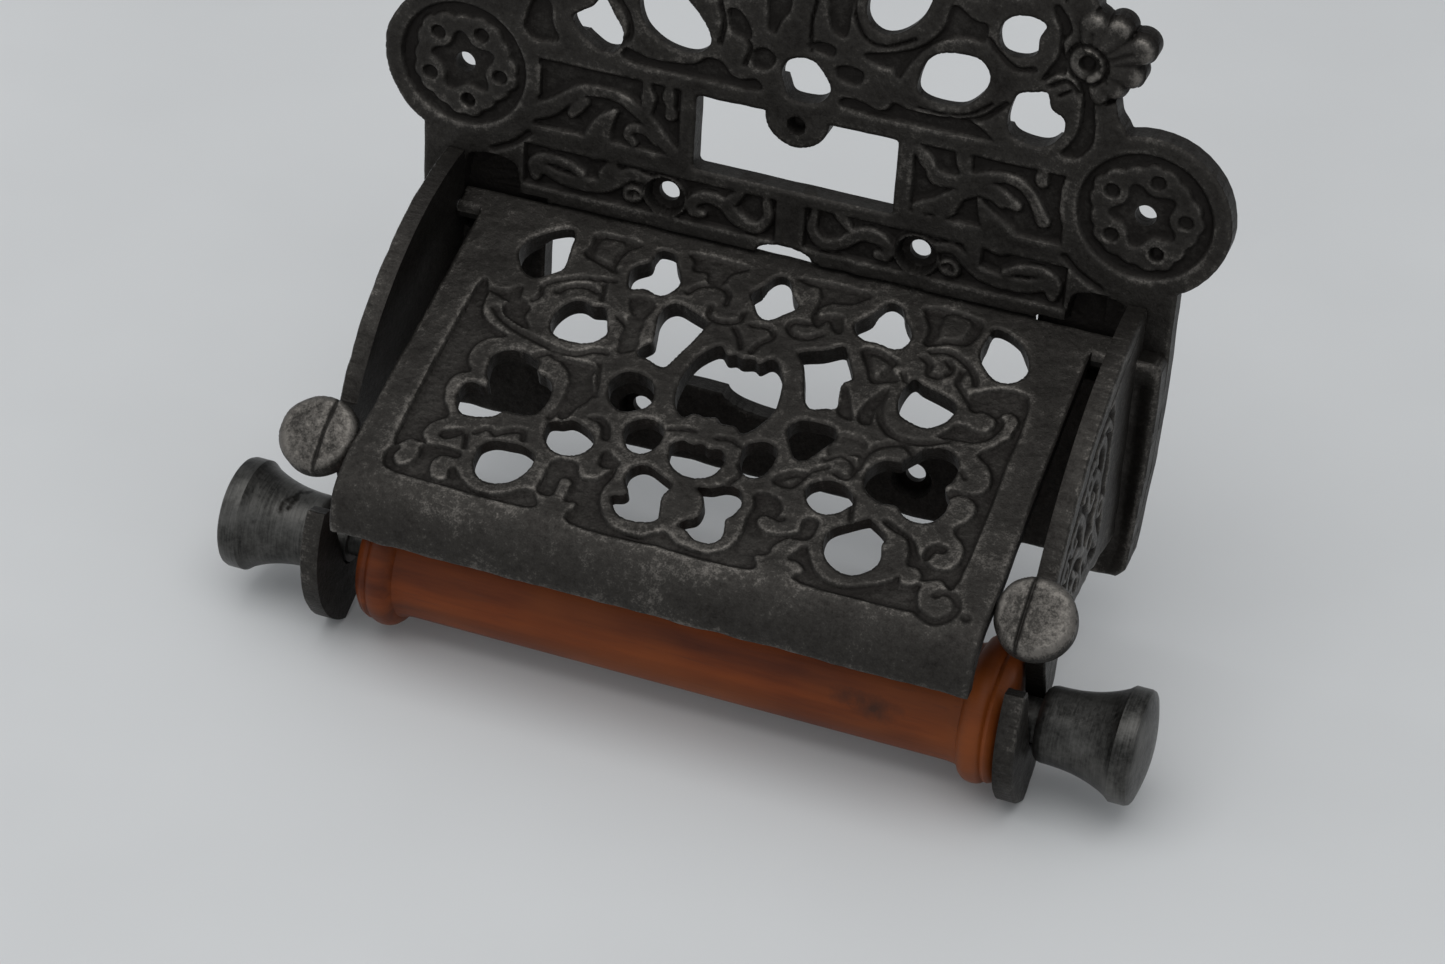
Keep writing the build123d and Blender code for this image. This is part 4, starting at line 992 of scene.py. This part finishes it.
def foot_mesh(side):
    """The arm's foot on the backplate: a long block with a cove beside the arm."""
    inner, outer = ARM_INNER_X, PLATE_HALF_W
    sheet = Sheet((inner - 1, outer + 1), (-82, -28))
    lower = [(inner, -81.0), (PLATE_SIDE[-1][0], -81.0), *PLATE_SIDE[-2::-1]]
    upper = [(outer, -31.0), (outer - 0.6, -29.6), (outer - 2, -29.0), (inner, -29.0)]
    sheet.add(np.array(lower + upper), 30)
    sheet.shape(FOOT_T, 0.0, 0.0, round_edge=1.3, waves=0.07)
    cove = np.exp(-(((sheet.U - inner - 5.2) / 1.7) ** 2)) * step_up((-32.5 - sheet.V) / 3)
    sheet.top -= 0.9 * cove * step_up((sheet.V + 80) / 10) + 0.008 * np.clip(-40 - sheet.V, 0, None)
    # The cove is painted darker, as shade.
    sheet.crease_shade_and_wear = np.clip(sheet.crease_shade_and_wear - 0.25 * cove, 0, 1)

    def place(u, v, h):
        return np.column_stack([u * side, -PLATE_T - h, v])

    return sheet_mesh(f"foot_{side}", sheet, place, flip=side < 0)


def make_arm(side):
    def place(u, v, h):
        return np.column_stack([(ARM_INNER_X + h) * side, -u, v])

    plate = sheet_mesh(f"arm_plate_{side}", arm_sheet(), place, flip=side > 0)
    name = "arm_right" if side > 0 else "arm_left"
    obj = join(name + "_cast", [plate, foot_mesh(side), button_mesh(side)])
    finish_piece(obj, "bracket", [name], cast_iron())


# ---------------------------------------------------------------- turned pieces
def make_roller():
    """Wooden roller with a bead, a fillet and a cove at each end."""
    half, shift = (ROLLER_HIGH[0] - ROLLER_LOW[0]) / 2, (ROLLER_HIGH[0] + ROLLER_LOW[0]) / 2
    ring = (ROLLER_HIGH[2] - ROLLER_LOW[2]) / 2
    barrel = 12.0
    right = [(half - 0.05, 3.06), (half, 3.6), (half, ring - 3.0)]
    right += [(half - 0.35, ring - 1.9), (half - 1.0, ring - 1.1), (half - 1.9, ring - 0.7)]
    right += [(half - 2.4, ring - 0.8), (half - 2.7, ring - 1.0)]
    bead = np.linspace(0.12, pi - 0.35, 9)
    right += [(half - 4.9 + 2.1 * cos(t), ring - 1.0 + sin(t)) for t in bead]
    right += [(half - 7.4, ring - 1.1), (half - 8.0, barrel + 0.6), (half - 9.0, barrel + 0.2)]
    right += [(half - 10.6, barrel)]
    across = [(x, barrel) for x in np.linspace(half - 18, 18 - half, 24)]
    profile = right + across + [(-x, r) for x, r in reversed(right)]
    obj = lathe("roller_wood", [(x + shift, r) for x, r in profile], AXIS, 128)
    finish_piece(obj, "roller", ["roller"], wood())


def make_knob(side):
    """Knob: journal, neck flaring to a rim, shallow domed end."""
    start, end = KNOB_LOW[0], KNOB_HIGH[0]
    rim, neck, journal = 11.6, 7.5, 4.5
    neck_x, neck_long = 76.9, 14.6
    profile = [(start, 3.0), (start, journal), (76.2, journal), (76.25, neck - 0.6), (neck_x, neck)]
    profile += [(neck_x + t * neck_long, neck + 0.25 + (rim - neck - 1.1) * t**2.6)
                for t in np.linspace(0.06, 1, 16)]
    profile += [(92.0, rim - 0.45), (92.6, rim), (95.6, rim), (96.3, rim - 0.25)]
    profile += [(end - 2.0 * (r / rim) ** 2, r) for r in np.linspace(rim - 0.8, 0.6, 12)]
    if side < 0:
        profile = [(-x, r) for x, r in reversed(profile)]
    name = "knob_right" if side > 0 else "knob_left"
    obj = lathe(name + "_turned", profile, AXIS, 112)
    finish_piece(obj, "spindle", [name], turned_iron())


def dress_cad_nodes():
    """The plain pins, screws and rod keep their CAD shape and get their metal."""
    steel = dull_steel()
    for name in ("arm_screws", "hinge_pin_left", "hinge_pin_right", "spindle"):
        mesh = frame["nodes"][name].data
        mesh.materials.clear()
        mesh.materials.append(turned_iron() if name == "spindle" else steel)


# ---------------------------------------------------------------- materials
# CREASE is the darkest iron: painted shade in creases, pockets and the cove, and dark blotches; RUBBED is the
# iron of rubbed edges.
CREASE, FACE, RUBBED = (0.0125, 0.0105, 0.0090), (0.0345, 0.0315, 0.0280), (0.150, 0.138, 0.124)
TURNED_DARK, TURNED_LIGHT, CRACK = (0.020, 0.0195, 0.018), (0.118, 0.115, 0.108), (0.006, 0.005, 0.004)
STEEL_DARK, STEEL_LIGHT = (0.17, 0.165, 0.16), (0.33, 0.325, 0.32)
WOOD_DARK, WOOD_LIGHT, WOOD_CLOUD = (0.066, 0.0125, 0.0025), (0.172, 0.037, 0.006), (0.205, 0.053, 0.010)
PORE, STAIN = (0.10, 0.028, 0.010), (0.045, 0.016, 0.008)
FLOOR_TONES = (0.667, 0.674, 0.677), (0.697, 0.704, 0.707)
WOOD_STAINS = ((46, -71, -81.5, 3.4, 0.95), (39.5, -71, -80.5, 2.6, 0.7), (57.5, -72, -77, 2.4, 0.5))
KNOB_CRACK = (
    [(-85.0, -64.4, -77.0), (-85.1, -62.7, -76.0), (-84.2, -61.2, -75.6), (-83.3, -60.0, -75.5),
     (-83.2, -58.4, -75.5), (-82.2, -58.0, -75.6), (-81.2, -55.8, -76.2)],
    [(-83.7, -63.4, -76.7), (-83.4, -61.6, -75.9), (-82.8, -60.2, -75.6)],
)


def finish_piece(obj, body, nodes, material):
    obj.data.materials.clear()
    obj.data.materials.append(material)
    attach(obj, body)
    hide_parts(*nodes)


class Nodes:
    """Short way to build a shader tree."""

    def __init__(self, name):
        self.material = bpy.data.materials.new(name)
        self.material.use_nodes = True
        self.tree = self.material.node_tree
        self.shader = self.tree.nodes["Principled BSDF"]

    def add(self, kind, **settings):
        node = self.tree.nodes.new(kind)
        for key, value in settings.items():
            if hasattr(node, key):
                setattr(node, key, value)
            else:
                node.inputs[key].default_value = value
        return node

    def link(self, out, into):
        self.tree.links.new(out, into)

    def number(self, operation, a, b):
        node = self.add("ShaderNodeMath", operation=operation)
        for socket, value in zip(node.inputs, (a, b)):
            if isinstance(value, (int, float)):
                socket.default_value = value
            else:
                self.link(value, socket)
        return node.outputs[0]

    def blend(self, factor, low, high):
        node = self.add("ShaderNodeMix", data_type="RGBA")
        for socket, value in ((node.inputs[0], factor), (node.inputs[6], low), (node.inputs[7], high)):
            if isinstance(value, tuple):
                socket.default_value = (*value, 1)
            elif isinstance(value, (int, float)):
                socket.default_value = value
            else:
                self.link(value, socket)
        return node.outputs[2]

    def spread(self, value, low, high, to_low=0.0, to_high=1.0):
        node = self.add("ShaderNodeMapRange")
        self.link(value, node.inputs[0])
        for k, number in enumerate((low, high, to_low, to_high), 1):
            node.inputs[k].default_value = number
        return node.outputs[0]

    def noise(self, scale, detail=3.0, roughness=0.55, stretch=None):
        where = self.add("ShaderNodeTexCoord").outputs["Object"]
        if stretch is not None:
            mapping = self.add("ShaderNodeMapping")
            mapping.inputs["Scale"].default_value = stretch
            self.link(where, mapping.inputs["Vector"])
            where = mapping.outputs[0]
        node = self.add("ShaderNodeTexNoise", Scale=scale, Detail=detail, Roughness=roughness)
        self.link(where, node.inputs["Vector"])
        return node.outputs["Fac"]

    def attribute(self, name):
        return self.add("ShaderNodeAttribute", attribute_name=name).outputs["Fac"]

    def bump(self, height, strength, depth_mm):
        node = self.add("ShaderNodeBump", Strength=strength, Distance=depth_mm * MM)
        self.link(height, node.inputs["Height"])
        self.link(node.outputs[0], self.shader.inputs["Normal"])

    def marks(self, tone, places, colour, stretch, ragged_mm, scale):
        """Ragged dark marks at (x, y, z, size, strength), in millimetres."""
        where = self.add("ShaderNodeTexCoord").outputs["Object"]
        ragged = self.number("SUBTRACT", self.noise(scale, 3), 0.5)
        ragged = self.number("MULTIPLY", ragged, ragged_mm * MM)
        for x, y, z, size, strength in places:
            away = self.add("ShaderNodeVectorMath", operation="SUBTRACT")
            self.link(where, away.inputs[0])
            away.inputs[1].default_value = (x * MM, y * MM, z * MM)
            scaled = self.add("ShaderNodeVectorMath", operation="MULTIPLY")
            scaled.inputs[1].default_value = stretch
            self.link(away.outputs[0], scaled.inputs[0])
            length = self.add("ShaderNodeVectorMath", operation="LENGTH")
            self.link(scaled.outputs[0], length.inputs[0])
            reach = self.number("ADD", length.outputs["Value"], ragged)
            tone = self.blend(self.spread(reach, size * MM, 0.0, 0.0, strength), tone, colour)
        return tone

    def set(self, **values):
        for key, value in values.items():
            self.shader.inputs[key.replace("_", " ")].default_value = value


@cache
def cast_iron():
    """Waxed cast iron: dark in the creases as painted shade, grey-brown on the faces, brighter on rubbed
    edges.
    """
    n = Nodes("cast_iron_waxed")
    crease_shade_and_wear, ground = n.attribute("crease_shade_and_wear"), n.attribute("ground")
    blotch, cloud = n.noise(60, 4), n.noise(190, 4, 0.6)
    grain, speck = n.noise(850, 4, 0.7), n.noise(2600, 2)
    # The attribute holds the painted crease shade (low values) and the rubbed edge wear (high values).
    amount = n.spread(crease_shade_and_wear, 0.0, 1.0, 0.10, 0.90)
    for field, weight in ((blotch, 0.45), (cloud, 0.40), (grain, 0.64), (speck, 0.42)):
        amount = n.number("ADD", amount, n.number("MULTIPLY", n.number("SUBTRACT", field, 0.5), weight))
    # Sunk ground is painted a little darker; pocket floors, given a high ground value, get it as painted
    # shade.
    amount = n.number("SUBTRACT", amount, n.number("MULTIPLY", ground, 0.07))
    body = n.blend(n.spread(amount, 0.20, 0.56), CREASE, FACE)
    bright = n.blend(n.spread(amount, 0.58, 0.90), body, RUBBED)
    n.link(bright, n.shader.inputs["Base Color"])
    n.link(n.spread(amount, 0.25, 0.85, 0.60, 0.40), n.shader.inputs["Roughness"])
    stipple = n.add("ShaderNodeTexVoronoi", Scale=900.0)
    n.link(n.add("ShaderNodeTexCoord").outputs["Object"], stipple.inputs["Vector"])
    stipple_height = n.number("MULTIPLY", stipple.outputs["Distance"], n.number("MULTIPLY", ground, 0.6))
    height = n.number("ADD", n.number("MULTIPLY", grain, 1.0), n.number("MULTIPLY", speck, 0.35))
    n.bump(n.number("ADD", height, stipple_height), 0.5, 0.3)
    n.set(Metallic=0.80)
    return n.material


def along_line(points, step):
    """Places at about even steps along straight runs between points in space."""
    made = []
    for a, b in zip(np.array(points), np.array(points)[1:]):
        count = max(1, round(float(np.linalg.norm(b - a)) / step))
        made += [tuple(float(k) for k in a + (b - a) * t / count) for t in range(count)]
    return made


@cache
def turned_iron():
    """Knob iron: grey with faint turning marks round the axis, and a flaw in the left knob."""
    n = Nodes("turned_iron")
    rings = n.noise(420, 3, 0.6, stretch=(6.0, 0.35, 0.35))
    grain, blotch = n.noise(1100, 4, 0.65), n.noise(110, 3)
    mixed = n.number("ADD", n.number("MULTIPLY", rings, 0.22), n.number("MULTIPLY", blotch, 0.53))
    mixed = n.number("ADD", mixed, n.number("MULTIPLY", grain, 0.25))
    tone = n.blend(n.spread(mixed, 0.38, 0.62), TURNED_DARK, TURNED_LIGHT)
    crack = [(*place, 0.8, 1.0) for line in KNOB_CRACK for place in along_line(line, 0.55)]
    tone = n.marks(tone, crack, CRACK, (1.0, 1.0, 1.0), 0.9, 1300)
    n.link(tone, n.shader.inputs["Base Color"])
    n.link(n.spread(grain, 0.3, 0.7, 0.34, 0.52), n.shader.inputs["Roughness"])
    n.bump(n.number("ADD", n.number("MULTIPLY", rings, 0.35), n.number("MULTIPLY", grain, 0.8)), 0.4, 0.2)
    n.set(Metallic=0.85)
    return n.material


@cache
def dull_steel():
    """Plain steel of the screws and the hinge pins."""
    n = Nodes("dull_steel")
    grain = n.noise(1300, 4, 0.6, stretch=(0.3, 1.0, 1.0))
    tone = n.blend(n.spread(grain, 0.3, 0.7), STEEL_DARK, STEEL_LIGHT)
    n.link(tone, n.shader.inputs["Base Color"])
    n.link(n.spread(grain, 0.3, 0.7, 0.35, 0.5), n.shader.inputs["Roughness"])
    n.bump(grain, 0.3, 0.1)
    n.set(Metallic=0.9)
    return n.material


@cache
def wood():
    """Oiled reddish hardwood: fine lengthwise grain, darker streaks, pores and stains."""
    n = Nodes("roller_hardwood")
    streaks = n.noise(190, 5, 0.6, stretch=(0.10, 1.0, 1.0))
    pores = n.noise(1500, 3, 0.6, stretch=(0.06, 1.0, 1.0))
    cloud = n.noise(38, 3, 0.5, stretch=(0.6, 1.0, 1.0))
    tone = n.blend(n.spread(streaks, 0.34, 0.68), WOOD_DARK, WOOD_LIGHT)
    tone = n.blend(n.spread(cloud, 0.42, 0.64, 0.0, 0.65), tone, WOOD_CLOUD)
    tone = n.blend(n.spread(pores, 0.60, 0.72, 0.0, 0.55), tone, PORE)
    tone = n.marks(tone, WOOD_STAINS, STAIN, (0.55, 1.0, 1.0), 5.0, 420)
    n.link(tone, n.shader.inputs["Base Color"])
    n.link(n.spread(streaks, 0.3, 0.7, 0.40, 0.52), n.shader.inputs["Roughness"])
    n.bump(n.number("ADD", streaks, n.number("MULTIPLY", pores, 0.8)), 0.25, 0.15)
    n.shader.inputs["Specular IOR Level"].default_value = 0.20
    return n.material


# ---------------------------------------------------------------- floor, light and camera
FLOOR_Z = -101.0
CAMERA_AT = (205.2, -649.2, 370.6)
CAMERA_AZIMUTH, CAMERA_ELEVATION, CAMERA_ROLL = 18.511, 33.840, 3.63
SENSOR_W, LENS = 36.0, 96.24
ROOM_TINT = (0.94, 0.97, 1.0, 1)
ROOM_RAMP = (-0.7, 0.7, 0.70, 0.38)


def make_floor():
    """Large flat floor, finely divided at the middle."""
    ticks = [-4000, -1500, -500, 0, 500, 1500, 4000]
    points = [(x, y, FLOOR_Z) for y in ticks for x in ticks]
    size = len(ticks)
    faces = [[j * size + i, j * size + i + 1, (j + 1) * size + i + 1, (j + 1) * size + i]
             for j in range(size - 1) for i in range(size - 1)]
    floor = mesh_object("floor", np.array(points, float) * MM, faces)
    n = Nodes("floor_paper")
    tone = n.blend(n.spread(n.noise(9, 3), 0.35, 0.65), *FLOOR_TONES)
    n.link(tone, n.shader.inputs["Base Color"])
    n.set(Roughness=0.62)
    floor.data.materials.append(n.material)


def area_light(name, place, target, size, power):
    light = bpy.data.lights.new(name, "AREA")
    light.shape = "RECTANGLE"
    light.size, light.size_y = size
    light.energy = power
    obj = bpy.data.objects.new(name, light)
    bpy.context.scene.collection.objects.link(obj)
    obj.location = place
    obj.rotation_mode = "QUATERNION"
    obj.rotation_quaternion = (Vector(target) - Vector(place)).to_track_quat("-Z", "Y")


def make_light():
    """Light room, brighter in front than behind, with a large soft light above and a weak one at the left."""
    world = bpy.data.worlds.new("studio")
    world.use_nodes = True
    tree = world.node_tree
    back = tree.nodes["Background"]
    back.inputs[0].default_value = ROOM_TINT
    apart = tree.nodes.new("ShaderNodeSeparateXYZ")
    tree.links.new(tree.nodes.new("ShaderNodeTexCoord").outputs["Generated"], apart.inputs[0])
    ramp = tree.nodes.new("ShaderNodeMapRange")
    tree.links.new(apart.outputs["Y"], ramp.inputs[0])
    for k, number in enumerate(ROOM_RAMP, 1):
        ramp.inputs[k].default_value = number
    tree.links.new(ramp.outputs[0], back.inputs[1])
    bpy.context.scene.world = world
    area_light("overhead", (0.0, -0.52, 1.5), (0, -0.05, 0), (1.8, 1.3), 11.5)
    area_light("left_front", (-1.3, -0.3, 0.9), (0, 0, -0.02), (1.2, 0.9), 1.0)


def make_camera():
    camera = bpy.data.cameras.new("camera")
    camera.sensor_width, camera.lens = SENSOR_W, LENS
    camera.clip_start, camera.clip_end = 0.01, 20
    obj = bpy.data.objects.new("camera", camera)
    bpy.context.scene.collection.objects.link(obj)
    a, e = radians(CAMERA_AZIMUTH), radians(CAMERA_ELEVATION)
    forward = Vector((-sin(a) * cos(e), cos(a) * cos(e), -sin(e)))
    level = forward.to_track_quat("-Z", "Y").to_matrix()
    turn = Matrix.Rotation(radians(CAMERA_ROLL), 3, "Z")
    obj.matrix_world = Matrix.Translation(Vector(CAMERA_AT) * MM) @ (level @ turn).to_4x4()
    bpy.context.scene.camera = obj
    bpy.context.scene.view_settings.view_transform = "Standard"


make_camera()
make_light()
make_floor()
make_backplate()
make_lid()
make_arm(1)
make_arm(-1)
make_roller()
make_knob(1)
make_knob(-1)
dress_cad_nodes()
